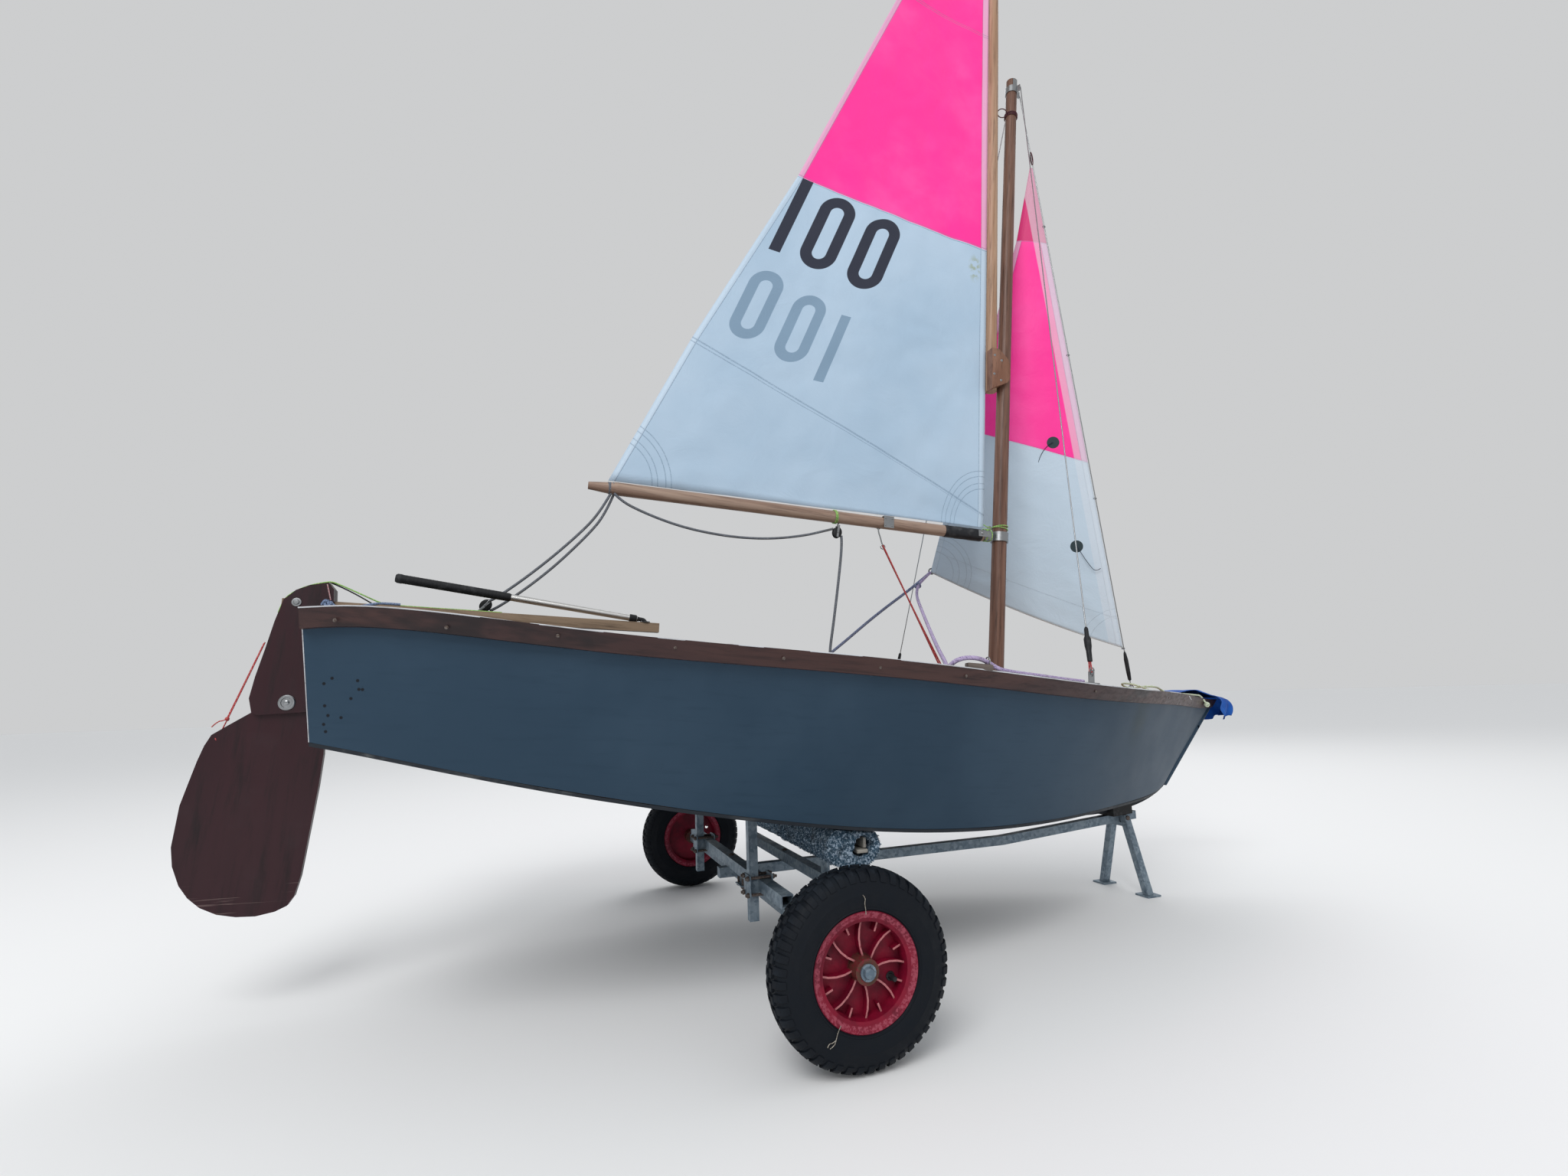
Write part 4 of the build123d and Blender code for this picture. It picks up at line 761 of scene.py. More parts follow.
# Sail number: centre, half height, half width of each stroke figure
DIGITS = [((-0.946, 1.65), 0.166, 0.0), ((-0.792, 1.63), 0.166, 0.05),
    ((-0.596, 1.605), 0.166, 0.05)]
GHOSTS = [((-1.0445, 1.254), 0.145, 0.045), ((-0.8705, 1.21), 0.145, 0.045),
    ((-0.7395, 1.166), 0.145, 0.0)]


def sail(rows, place, belly, pulls, columns, lines, seed):
    """A sheet from luff to leech, with one uv map along its seams and one from its edges"""
    bm = bmesh.new()
    bmesh.ops.create_grid(bm, x_segments=columns, y_segments=lines, size=1)
    marks = {}
    for vert in bm.verts:
        across, share = (vert.co.x + 1) / 2, (vert.co.y + 1) / 2
        row = max(k for k in range(len(rows) - 1) if rows[k][0] <= share + 1e-6)
        low, high = rows[row], rows[row + 1]
        part = (share - low[0]) / (high[0] - low[0])
        luff = Vector(low[1]).lerp(Vector(high[1]), part)
        leech = Vector(low[2]).lerp(Vector(high[2]), part)
        spot = luff.lerp(leech, across)
        spot.y += 4 * across * (1 - across) * (low[3] + part * (high[3] - low[3]))
        width = (leech - luff).length
        out = belly * (4 * across * (1 - across)) ** 0.8 * sin(pi * min(share, 1)) ** 0.6
        inside = min(across, 1 - across) * 6
        for centre, reach, depth, count in pulls:
            arm = spot - Vector(centre)
            fade = depth * 2.718 ** (-arm.length / reach) * arm.length / (arm.length + 0.1)
            angle = atan2(arm.y, arm.x) * count
            out += fade * noise.noise(Vector((angle, arm.length * 1.5, seed))) * min(inside, 1)
        crumple = noise.noise(Vector((spot.x * 3.2 + spot.y * 1.6, spot.y * 2.1, seed + 4)))
        fine = abs(noise.noise(Vector((spot.x * 9 - spot.y * 5, spot.y * 8, seed + 7))))
        out += (crumple * 0.007 - fine * 0.005) * min(inside, 1)
        marks[vert] = (across, row + part, across * width, (1 - across) * width)
        vert.co = place @ Vector((spot.x, out, spot.y))
    seams, edges = bm.loops.layers.uv.new("seams"), bm.loops.layers.uv.new("edges")
    for face in bm.faces:
        for corner in face.loops:
            mark = marks[corner.vert]
            corner[seams].uv, corner[edges].uv = mark[:2], mark[2:]
    return bm


def thicken(sheet, thickness, offset):
    """Gives a sheet its thickness, to both sides of it or to one"""
    wall = sheet.modifiers.new("thickness", "SOLIDIFY")
    wall.thickness, wall.offset = thickness, offset


def stadium(cloth, centre, half_height, half_width, stroke):
    """A slanted stroke figure: a bar where half_width is 0, otherwise a long ring"""
    above = cloth.up - centre[1]
    beside = cloth.along - centre[0] - above * DIGIT_SLANT
    straight = half_height - half_width - (0 if half_width == 0 else stroke)
    past = (above.size() - straight).most(0.0)
    if half_width == 0:
        return beside.size().most(past * 50).below(stroke * 0.94, stroke * 1.02)
    return (beside.beside(past) - half_width).size().below(stroke * 0.94, stroke * 1.04)


def line_at(value, place, width):
    """A thin line where a value passes a place"""
    return (value - place).size().below(width * 0.35, width * 0.65)


def sail_finish(name, axes, pink_from, pink_to, patches, stitch_rows):
    """Sailcloth: panels by row, double stitching, and corner patches that are sewn in arcs"""
    cloth = Finish(name, Roughness=0.55, Sheen_Weight=0.12)
    cloth.slot = "sail_cloth"
    spot = cloth.place(*axes)
    along, _, up = cloth.axes(spot)
    row = cloth.axes(cloth.add("UVMap", {"uv_map": "seams"}))[1]
    from_luff, from_leech, _ = cloth.axes(cloth.add("UVMap", {"uv_map": "edges"}))
    cloudy = cloth.noise(spot, 1.6, 4)
    colour = cloth.mix(cloudy.between(0.3, 0.7), SAIL_WHITE, SAIL_GREY)
    rosy = cloth.mix(cloth.noise(spot, 2.4, 4).between(0.45, 0.75), SAIL_PINK, SAIL_ROSE)
    pink = row.between(pink_from - 0.001, pink_from + 0.001)
    pink = pink * row.below(pink_to - 0.001, pink_to + 0.001)
    colour = cloth.mix(pink, colour, rosy)
    sewn = line_at(from_leech, 0.021, 0.003).most(line_at(from_luff, 0.026, 0.003))
    for at, gap in stitch_rows:
        for offset in (-gap, gap):
            sewn = sewn.most(line_at(row, at + offset, gap * 0.7))
    for centre, radii, squeeze in patches:
        far = ((along - centre[0]) * squeeze).beside(up - centre[1])
        for radius in radii:
            sewn = sewn.most(line_at(far, radius, 0.0035))
    band = from_leech.below(0.019, 0.021).most(from_luff.below(0.024, 0.026))
    colour = cloth.mix(band * 0.55, colour, (0.5, 0.6, 0.7))
    dash = cloth.noise(spot, 330, 1).between(0.38, 0.5, 0.35, 1.0)
    colour = cloth.mix(sewn * dash * 0.5, colour, (0.1, 0.17, 0.26))
    cloth.sewn, cloth.colour, cloth.row, cloth.band = sewn, colour, row, band
    cloth.spot, cloth.along, cloth.up, cloth.from_luff = spot, along, up, from_luff
    return cloth


def weave_bump(cloth, crease_scale=5.0):
    """Woven threads and sharp little creases under the stitching"""
    creased = cloth.noise(cloth.spot, crease_scale, 5, 0.6, 0.8)
    ridge = 1 - (creased * 2 - 1).size()
    threads = cloth.noise(cloth.spot, 700, 1)
    cloth.bump(ridge * 2.2 + threads * 0.15 - cloth.sewn * 0.5 + cloth.band * 0.4, 0.0016, 0.55)


# Corner patches: centre, radii of their seams, squeeze; and rows of stitches: seam, half gap
CLEW_PATCH = (-1.47, 0.505), (0.215, 0.195, 0.165, 0.145), 1.1
TACK_PATCH = (-0.074, 0.56), (0.25, 0.228, 0.2, 0.178), 1.35
MAIN_SEAMS = (1.0, 0.01), (2.0, 0.005), (3.0, 0.005)
main_cloth = sail_finish("main cloth", MAST, 2.0, 9.0, (CLEW_PATCH, TACK_PATCH), MAIN_SEAMS)
port_face = main_cloth.axes(main_cloth.add("TexCoord", output="Normal"))[1].between(-0.1, 0.1)
front_ink = widest(stadium(main_cloth, *digit, 0.023) for digit in DIGITS)
back_ink = widest(stadium(main_cloth, *digit, 0.02) for digit in GHOSTS)
near_ink = front_ink * (1 - port_face) + back_ink * port_face
far_ink = back_ink * (1 - port_face) + front_ink * port_face
colour = main_cloth.mix(far_ink * 0.85, main_cloth.colour, INK_THROUGH)
colour = main_cloth.mix(near_ink, colour, INK)
smudged = ((main_cloth.along + 0.15) * 2.2).beside(main_cloth.up - 1.672).below(0.02, 0.075)
smudged = smudged * main_cloth.noise(main_cloth.spot, 40, 3).between(0.45, 0.6)
colour = main_cloth.mix(smudged * 0.7, colour, (0.26, 0.3, 0.14))
main_cloth.set(Base_Color=colour)
weave_bump(main_cloth)
mainsail = piece("mainsail_cloth", sail(SAIL_ROWS, TO_MAST, 0.022, SAIL_PULLS, 72, 170, 3),
    main_cloth, "boom_and_yard", sharp=80)
thicken(mainsail, 0.0011, 0)
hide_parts("mainsail")


# Jib: a small headsail of the same cloth, pink above and white below, hanked to the forestay and
# sheeted from a ringed clew, with a pale luff band and two dark telltale discs.
JIB_TACK = Vector((1.30285, 0, 0.90972))
JIB_UP = Vector((-0.10966, 0, 0.99397))
JIB_BACK = Vector((-0.81754, 0.56876, -0.09019))
JIB_SIDE = JIB_UP.cross(JIB_BACK)
TO_JIB = Matrix.Translation(JIB_TACK) @ Matrix((JIB_BACK, JIB_SIDE, JIB_UP)).transposed().to_4x4()
JIB_TURN = tuple(TO_JIB.to_euler("XYZ"))
JIB_ROWS = [(0.0, (0.002, 0.0), (0.703, 0.426), -0.02),
    (0.08, (0.002, 0.115), (0.668, 0.51), -0.01), (0.36, (0.002, 0.77), (0.455, 1.01), 0.0),
    (0.82, (0.002, 1.745), (0.118, 1.79), 0.0), (1.0, (0.002, 2.094), (0.012, 2.098), 0.0)]
JIB_PULLS = [((0.703, 0.426), 0.3, 0.012, 4.0), ((0.0, 0.0), 0.25, 0.009, 5.0)]
JIB_PATCHES = ((0.703, 0.426), (0.17, 0.15, 0.12, 0.095), 1.0), ((0.0, 0.0), (0.16, 0.13), 1.0)
JIB_SEAMS = (1.0, 0.006), (2.0, 0.004), (3.0, 0.005)
JIB = tuple(JIB_TACK), JIB_TURN
jib_cloth = sail_finish("jib cloth", JIB, 2.0, 3.0, JIB_PATCHES, JIB_SEAMS)
head_panel = jib_cloth.row.between(2.999, 3.001)
colour = jib_cloth.mix(head_panel, jib_cloth.colour, (0.62, 0.008, 0.15))
lower = jib_cloth.row.below(1.999, 2.001)
colour = jib_cloth.mix(lower * 0.45, colour, (0.6, 0.68, 0.74))
luff_band = jib_cloth.from_luff.below(0.054, 0.058)
colour = jib_cloth.mix(luff_band * 0.45, colour, (0.62, 0.66, 0.72))
DISC_PLACES = ((0.122, 0.881), (0.104, 0.435))
discs = spots(jib_cloth.along, jib_cloth.up, DISC_PLACES, 0.0255, 0.0245)
foot = jib_cloth.row.below(0.035, 0.045)
colour = jib_cloth.mix(foot * 0.6, colour, (0.78, 0.84, 0.88))
colour = jib_cloth.mix(discs, colour, (0.004, 0.022, 0.03))
jib_cloth.set(Base_Color=colour)
weave_bump(jib_cloth, 7.0)
jib = piece("jib_cloth", sail(JIB_ROWS, TO_JIB, 0.014, JIB_PULLS, 44, 110, 11), jib_cloth,
    sharp=80)
thicken(jib, 0.001, 0)
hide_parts("jib")


# Jib sheets: one lilac rope, knotted through the clew's ring. The port part runs taut to a
# fairlead on the bench. The starboard part hangs slack, passes a hoop on the rail and lies there.
lilac = cord_finish("lilac rope", (0.46, 0.38, 0.56), (0.17, 0.12, 0.26))
grey_lilac = cord_finish("grey lilac rope", (0.26, 0.3, 0.44), (0.08, 0.09, 0.17))
CLEW = Vector((0.687, 0.4, 1.276))
bm = bmesh.new()
put(bm, hoop(0.0125, 0.0026, 28, 9), aim(CLEW, JIB_SIDE))
put(bm, hoop(0.0095, 0.0012, 24, 7), aim(CLEW, JIB_SIDE))
piece("clew_ring", bm, steel)
slack = [(0.679, 0.399, 1.27), (0.635, 0.383, 1.238), (0.592, 0.36, 1.206), (0.546, 0.3, 1.153),
    (0.481, 0.15, 1.071), (0.362, -0.1, 0.97), (0.237, -0.35, 0.888), (0.14, -0.55, 0.83),
    (0.086, -0.625, 0.802), (0.07, -0.662, 0.823), (0.092, -0.684, 0.844), (0.14, -0.688, 0.845),
    (0.171, -0.688, 0.835), (0.208, -0.686, 0.8135), (0.25, -0.675, 0.8068), (0.3, -0.664, 0.8008),
    (0.35, -0.656, 0.7955), (0.41, -0.641, 0.789), (0.46, -0.629, 0.7836), (0.51, -0.615, 0.779),
    (0.55, -0.606, 0.7755)]
slack_sheet = line("jib_sheet_slack", slack, 0.012, lilac)
taut = [(0.679, 0.401, 1.27), (0.605, 0.405, 1.212), (0.425, 0.45, 1.085), (0.244, 0.5, 0.934)]
taut += [(-0.094, 0.56, 0.69)]
line("jib_sheet_taut", taut, 0.012, grey_lilac)
bm = bmesh.new()
for turn, at in (((1, 0.2, 0.7), 0.0), ((0.4, 0.9, -0.4), 0.006), ((0.8, -0.5, 0.4), 0.012)):
    centre = Vector((0.598, 0.366, 1.208)) + Vector((-1, 0, -0.7)).normalized() * at
    put(bm, hoop(0.0098, 0.0045, 22, 9), aim(centre, turn))
piece("jib_sheet_knot", bm, grey_lilac)
PAD = (0.03, 0.024, 0.02), (0.09, 0.07, 0.058), (0.13, 0.105, 0.09)
pad_wood = wood("fairlead pads", BOAT, (14, 1, 1), PAD, grain=90)
bm = bmesh.new()
for side in (-1, 1):
    lean = shift(0.145, side * 0.692, 0.8205) @ tilted(5.9)
    put(bm, block((0.072, 0.022, 0.016), 0.003), lean @ Matrix.Rotation(side * 0.1, 4, "Z"))
piece("fairlead_pads", bm, pad_wood, "root")
bm = bmesh.new()
for side in (-1, 1):
    put(bm, hoop(0.012, 0.0018, 24, 8), aim((0.174, side * 0.689, 0.833), (1, side * 0.1, -0.1)))
    put(bm, block((0.016, 0.024, 0.002), 0.0008), shift(0.174, side * 0.689, 0.8235))
put(bm, hoop(0.01, 0.002, 24, 8), aim((-0.094, 0.56, 0.684), (0.8, -0.15, 0.6)))
put(bm, block((0.03, 0.018, 0.0025), 0.0008), shift(-0.096, 0.56, 0.6672))
piece("sheet_fairleads", bm, steel)


# Mainsheet: grey rope of 8.5 mm, made fast at the boom's end. It goes down to a block on a strop
# from the transom and back, lies slack along the boom to a second block, and falls to the case.
sheet_grey = cord_finish("mainsheet rope", (0.115, 0.125, 0.145), (0.28, 0.3, 0.33), 0.62)
# The two parts are laid so that they clear the tiller extension
first = [(-0.712, -0.004, 1.424), (-0.745, 0.004, 1.362), (-0.8, 0.018, 1.297)]
first += [(-0.92, 0.04, 1.186), (-1.045, 0.056, 1.088), (-1.068, 0.058, 1.078)]
second = [(-0.704, 0.005, 1.42), (-0.731, 0.01, 1.352), (-0.785, 0.022, 1.284)]
second += [(-0.9, 0.046, 1.168), (-1.036, 0.063, 1.062), (-1.066, 0.062, 1.048)]
ropes = [(list(reversed(run)), 0.0085) for run in (first, second)]
jointed("mainsheet_double", ropes, sheet_grey)
fall = [(0.022, 0.004, 0.686), (0.02, 0.003, 0.78), (0.022, 0.002, 0.903), (0.041, 0.001, 0.999)]
fall += [(0.07, 0, 1.169), (0.088, 0, 1.29), (0.086, 0, 1.318)]
jointed("mainsheet_fall", [(fall, 0.0095)], sheet_grey)
slack = [(-0.704, -0.01, 1.42), (-0.682, -0.008, 1.398), (-0.632, -0.004, 1.373),
    (-0.536, 0.0, 1.338), (-0.438, 0.0, 1.313), (-0.311, 0.0, 1.296), (-0.18, 0.0, 1.295),
    (-0.057, 0.0, 1.312), (0.016, 0.0, 1.331), (0.056, 0.0, 1.342)]
slack_rope = line("mainsheet_slack", slack, 0.0085, sheet_grey, "boom_and_yard")
bm = bmesh.new()
for k, lean in enumerate((0.1, -0.15, 0.05)):
    put(bm, hoop(0.0165, 0.0035, 26, 8), aim((-0.706 - 0.007 * k, 0, 1.4395), (1, lean, 0.05)))
piece("boom_end_turns", bm, sheet_grey, "boom_and_yard")


def pulley(centre, along, size):
    """A rope block across the boat: two moulded cheeks on a sheave. It gives its place as well"""
    bm = bmesh.new()
    side, forward = Vector((0, 1, 0)), Vector(along).normalized()
    turn = Matrix((side.cross(forward), forward, side)).transposed()
    place = Matrix.Translation(centre) @ turn.to_4x4()
    for half in (-1, 1):
        cheek = turned([(0, 0.0045), (0.5, 0.0042), (0.85, 0.003), (1.0, 0.0012), (0.98, 0)], 28)
        bmesh.ops.scale(cheek, vec=(size * 0.82, size, 1), verts=cheek.verts)
        if half < 0:
            bmesh.ops.scale(cheek, vec=(1, 1, -1), verts=cheek.verts)
        put(bm, cheek, place @ shift(0, 0, half * 0.0055))
    wheel = [(0.002, -0.0045), (size * 0.8, -0.0045), (size * 0.62, 0), (size * 0.8, 0.0045)]
    put(bm, turned(wheel + [(0.002, 0.0045)], 28), place)
    return bm, place


fore_block = "fore_block", (0.07, 0.0, 1.329), "boom_and_yard", (0.2, 0, 1)
low_block = "low_block", (-1.078, 0.06, 1.064), "root", (-0.7, 0.05, -0.7)
for name, centre, body, along in (fore_block, low_block):
    bm, place = pulley(centre, along, 0.02)
    piece(name, bm, black_rubber, body)
    bm = bmesh.new()
    for half in (-1, 1):
        put(bm, block((0.008, 0.044, 0.0014), 0.0005), place @ shift(0, 0.004, half * 0.0108))
        head = turned([(0, 0.0022), (0.003, 0.0018), (0.0045, 0)], 12)
        put(bm, head, place @ aim((0, 0, half * 0.0115), (0, 0, half)))
    put(bm, hoop(0.006, 0.0018, 20, 7), place @ aim((0, 0.0285, 0), (1, 0, 0)))
    piece(name + "_strap", bm, steel, body)
strop = [(-1.099, 0.0615, 1.043), (-1.19, 0.065, 0.956), (-1.364, 0.07, 0.788)]
line("block_strop", strop, 0.007, blue_grey)
strop = [(-1.098, 0.064, 1.045), (-1.2, 0.072, 0.95), (-1.364, 0.074, 0.786)]
line("block_strop_second", strop, 0.007, blue_grey)
bm = bmesh.new()
put(bm, hoop(0.011, 0.0025, 24, 8), aim((-1.368, 0.072, 0.783), (0, 0.2, 1)))
put(bm, block((0.003, 0.034, 0.034), 0.001), shift(-1.3785, 0.072, 0.779))
put(bm, hoop(0.0085, 0.002, 22, 8), aim((0.022, 0.004, 0.685), (0, 1, 0.1)))
put(bm, block((0.036, 0.016, 0.0025), 0.0008), shift(0.022, 0.004, 0.6752))
piece("sheet_eyes", bm, steel)
bm = bmesh.new()
for k in range(3):
    turn = aim((-0.686 - 0.004 * k, 0, 0), (1, 0.03 * k, 0.1))
    put(bm, hoop(0.0235, 0.0015, 26, 7), TO_BOOM @ turn)
piece("fore_block_lashing", bm, green_cord, "boom_and_yard")


# Kicking strap: a wire hook and rings under the boom's plate, and a doubled red line that runs
# down to an eye by the mast's foot.
first = [(0.492, 0.0, 0.7905), (0.479, 0, 0.815), (0.337, 0.006, 1.107), (0.249, 0.004, 1.29)]
second = [(0.489, 0.006, 0.7905), (0.472, 0.006, 0.815), (0.331, -0.005, 1.108)]
second += [(0.246, -0.004, 1.29)]
jointed("kicker_rope", [(first, 0.0058), (second, 0.0058)], red_cord)
hook = [(0.249, 0, 1.286), (0.244, 0, 1.3), (0.24, 0, 1.32), (0.233, 0, 1.34), (0.235, 0, 1.354)]
line("kicker_wire", hook, 0.005, steel, "boom_and_yard")
bm = bmesh.new()
put(bm, hoop(0.008, 0.0018, 20, 8), aim((0.248, 0, 1.284), (0.3, 1, 0)))
put(bm, hoop(0.0075, 0.0022, 20, 8), aim((0.235, 0, 1.357), (0, 1, 0.1)))
piece("kicker_rings", bm, steel, "boom_and_yard")
bm = bmesh.new()
put(bm, hoop(0.009, 0.002, 22, 8), aim((0.492, 0, 0.783), (1, 0.3, 0)))
put(bm, block((0.036, 0.016, 0.0025), 0.0008), shift(0.492, 0, 0.776) @ tilted(4.0))
piece("kicker_eye", bm, steel)


# Telltale yarns: a short length of dark wool, sewn through each disc of the jib and left to
# hang down its port face.
yarn = cord_finish("dark yarn", (0.006, 0.012, 0.03), (0.02, 0.03, 0.06))
high = [(0.122, 0.881), (0.15, 0.872), (0.185, 0.83), (0.2, 0.79), (0.206, 0.769)]
low = [(0.104, 0.435), (0.092, 0.4), (0.07, 0.35), (0.052, 0.318), (0.03, 0.33)]
for name, points in (("telltale_high", high), ("telltale_low", low)):
    run = [TO_JIB @ Vector((x, 0.0165 - 0.001 * k, z)) for k, (x, z) in enumerate(points)]
    line(name, run, 0.0024, yarn)


# Strake edges: a painted highlight on the top outer corner of each rubbing strake and on the side
# panels' edges at the transom, as a thin pale bead that follows each corner.
# Pale grey-blue of a painted highlight, laid on with a wood grain
EDGE_HIGHLIGHT = (0.16, 0.14, 0.14), (0.42, 0.42, 0.44), (0.6, 0.62, 0.65)
edge_highlight = wood("strake edge highlight", BOAT, (18, 1, 1), EDGE_HIGHLIGHT, grain=70)
TO_HULL = TO_BOAT.inverted()


def corner_run(node, step, axis, score):
    """The points of a solid's long corner: in each step along an axis, the top scoring vertex"""
    corner = {}
    for vert in node.data.vertices:
        at = TO_HULL @ (node.matrix_world @ vert.co)
        key = round(at[axis] / step)
        if key not in corner or score(at) > score(corner[key]):
            corner[key] = at
    return [corner[key] for key in sorted(corner)]


# A step without a vertex on the top corner gives one this low or lower
STRAKE_FOOT = -0.036
for name in ("port", "starboard"):
    strake = corner_run(nodes["rubbing_strake_" + name], 0.06, 0, lambda at: abs(at.y) + at.z)
    run = [TO_BOAT @ at for at in strake if at.z > STRAKE_FOOT and at.x < 2.98]
    # Beads of painted highlight along the strake's top corner and the panel's edge
    line("strake_edge_" + name, run, 0.003, edge_highlight, "root")
    panel = corner_run(nodes["side_panel_" + name], 0.3, 2, lambda at: abs(at.y) * 0.3 - at.x)
    run = [TO_BOAT @ at for at in panel if at.x < 0.12]
    line("panel_edge_" + name, run, 0.0022, edge_highlight, "root")


# Painter: a thin rope in white and yellow-green, made fast under the bow cloth, that runs aft
# along the strake and lies in loose loops on the foredeck.
painter_cord = cord_finish("painter rope", (0.62, 0.66, 0.56), (0.34, 0.44, 0.16))
painter = [(2.985, -0.126, -0.03), (2.968, -0.128, -0.015), (2.94, -0.136, 0.002),
    (2.9, -0.152, 0.001), (2.83, -0.176, -0.0005), (2.76, -0.2, -0.0035), (2.69, -0.214, -0.008),
    (2.62, -0.226, -0.011), (2.56, -0.262, -0.004), (2.505, -0.255, 0.013), (2.49, -0.205, 0.02),
    (2.53, -0.165, 0.012), (2.61, -0.155, 0.002), (2.69, -0.165, -0.009), (2.77, -0.15, -0.007),
    (2.8, -0.118, -0.0065), (2.77, -0.092, -0.0075), (2.7, -0.09, -0.009), (2.63, -0.11, -0.01),
    (2.575, -0.15, -0.008), (2.545, -0.205, 0.006), (2.57, -0.242, 0.012), (2.62, -0.238, 0.012),
    (2.67, -0.205, 0.006), (2.73, -0.18, -0.004), (2.79, -0.165, -0.003)]
painter = [TO_BOAT @ Vector(at) for at in painter]
painter_rope = line("painter", painter, 0.007, painter_cord)
bm = bmesh.new()
for lean in ((1, 0.3, 0.5), (0.4, 1, -0.3), (-0.3, 0.5, 1)):
    put(bm, hoop(0.0072, 0.0036, 22, 9), aim(painter[0], lean))
piece("painter_knot", bm, painter_cord)


# Bow cloth: a piece of blue canvas laid over the stem with its fore end hanging down, stitched
# round its hem. It lies flat on the foredeck aft and falls in soft folds outside the strakes.
CLOTH_BLUE = (0.006, 0.095, 0.42)
CLOTH_DEEP = (0.004, 0.045, 0.26)
CLOTH_AFT, CLOTH_FORE, CLOTH_HALF = 2.775, 3.285, 0.148
BOW_OUTLINE = [(2.6, 0.33), (2.88, 0.199), (3.14, 0.053), (3.19, 0.02), (3.192, 0.0)]


def nearest_rail(x, y):
    """The gap to the bow's outline, its side, the nearest place there and the way walked to it"""
    best, walked = None, 0.0
    for (ax, ay), (bx, by) in zip(BOW_OUTLINE, BOW_OUTLINE[1:]):
        start, step = Vector((ax, ay)), Vector((bx - ax, by - ay))
        share = max(0.0, min(1.0, (Vector((x, y)) - start).dot(step) / step.length_squared))
        spot = start + step * share
        gap = Vector((x, y)) - spot
        outside = gap.dot(Vector((-step.y, step.x))) > 0
        if best is None or gap.length < best[0].length:
            best = (gap, outside, spot, walked + step.length * share)
        walked += step.length
    return best


def draped(x, y):
    """Where a point of the flat cloth comes to lie, in the boat's frame"""
    side = -1 if y < 0 else 1
    away, outside, spot, walked = nearest_rail(x, abs(y))
    gap = away.length
    aft = max(0.0, min(1.0, (3.02 - x) / 0.22))
    rise = 0.0065 - aft * (0.0115 + 0.0022 * (3.0 - x) * 10)
    puff = 0.02 * sin(pi * min(1.0, max(0.0, (x - 2.8) / 0.3))) * min(1.0, gap / 0.04)
    wave = noise.noise(Vector((x * 14, y * 14, 2.5))) * 0.0028
    wave += abs(noise.noise(Vector((x * 9, y * 22, 7)))) * 0.003
    if not outside:
        near_edge = max(0.0, 1 - gap / 0.02)
        return Vector((x, y, rise + puff + wave * (1 - near_edge) * (0.3 + aft) + 0.001))
    direction = away.normalized()
    nose = max(0.0, direction.x) ** 2
    fold = 0.5 + 0.5 * sin(walked * 60 + atan2(direction.y, direction.x) * 4.5 + side)
    bend = 0.013 + 0.028 * nose + 0.003 * fold
    most = radians(96 + 34 * nose)
    turn = min(gap / bend, most)
    rest = gap - bend * turn
    reach = bend * sin(turn) + rest * cos(most) + min(1.0, gap / 0.05) * 0.007 * fold
    drop = bend * (1 - cos(turn)) + rest * sin(most)
    out = spot + direction * reach
    return Vector((out.x, side * out.y, rise + 0.001 - drop))


bm = bmesh.new()
bmesh.ops.create_grid(bm, x_segments=150, y_segments=96, size=1)
flat = {}
for vert in bm.verts:
    u, v = (vert.co.x + 1) / 2, vert.co.y
    x = CLOTH_AFT + u * (CLOTH_FORE - CLOTH_AFT)
    corner = sqrt(max(0.06, 1 - max(0.0, (x - 3.15) / 0.136) ** 2))
    y = v * CLOTH_HALF * (1 - 0.1 * (1 - u)) * corner + 0.012 * (1 - u)
    flat[vert] = (x, v * CLOTH_HALF)
    vert.co = TO_BOAT @ draped(x, y)
edges = bm.loops.layers.uv.new("cloth")
for face in bm.faces:
    for corner in face.loops:
        x, y = flat[corner.vert]
        corner[edges].uv = (x - CLOTH_AFT, y)
canvas = Finish("bow canvas", Roughness=0.72, Specular_IOR_Level=0.25)
along, across, _ = canvas.axes(canvas.add("UVMap", {"uv_map": "cloth"}))
faded = canvas.noise(canvas.place(), 16, 4)
colour = canvas.mix(faded.between(0.35, 0.7), CLOTH_BLUE, CLOTH_DEEP)
CLOTH_LONG = CLOTH_FORE - CLOTH_AFT
hem = across.size().between(CLOTH_HALF - 0.014, CLOTH_HALF - 0.012)
hem = hem.most(along.between(CLOTH_LONG - 0.014, CLOTH_LONG - 0.012))
hem = hem.most(along.below(0.012, 0.014))
stitch = line_at(across.size(), CLOTH_HALF - 0.013, 0.0025)
stitch = stitch.most(line_at(along, CLOTH_LONG - 0.013, 0.0025))
dash = canvas.noise(canvas.place(), 420, 1).between(0.4, 0.5)
colour = canvas.mix(stitch * dash * 0.7, colour, (0.02, 0.16, 0.6))
canvas.set(Base_Color=colour)
warp = (along * 2200).math("SINE") * 0.5 + (across * 2200).math("SINE") * 0.5
canvas.bump(warp * 0.25 + hem * 1.2 - stitch * 0.8 + faded * 0.8, 0.0007, 0.8)
cloth = piece("bow_canvas", bm, canvas, "root", sharp=80)
thicken(cloth, 0.0012, 1)
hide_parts("bow_cloth")


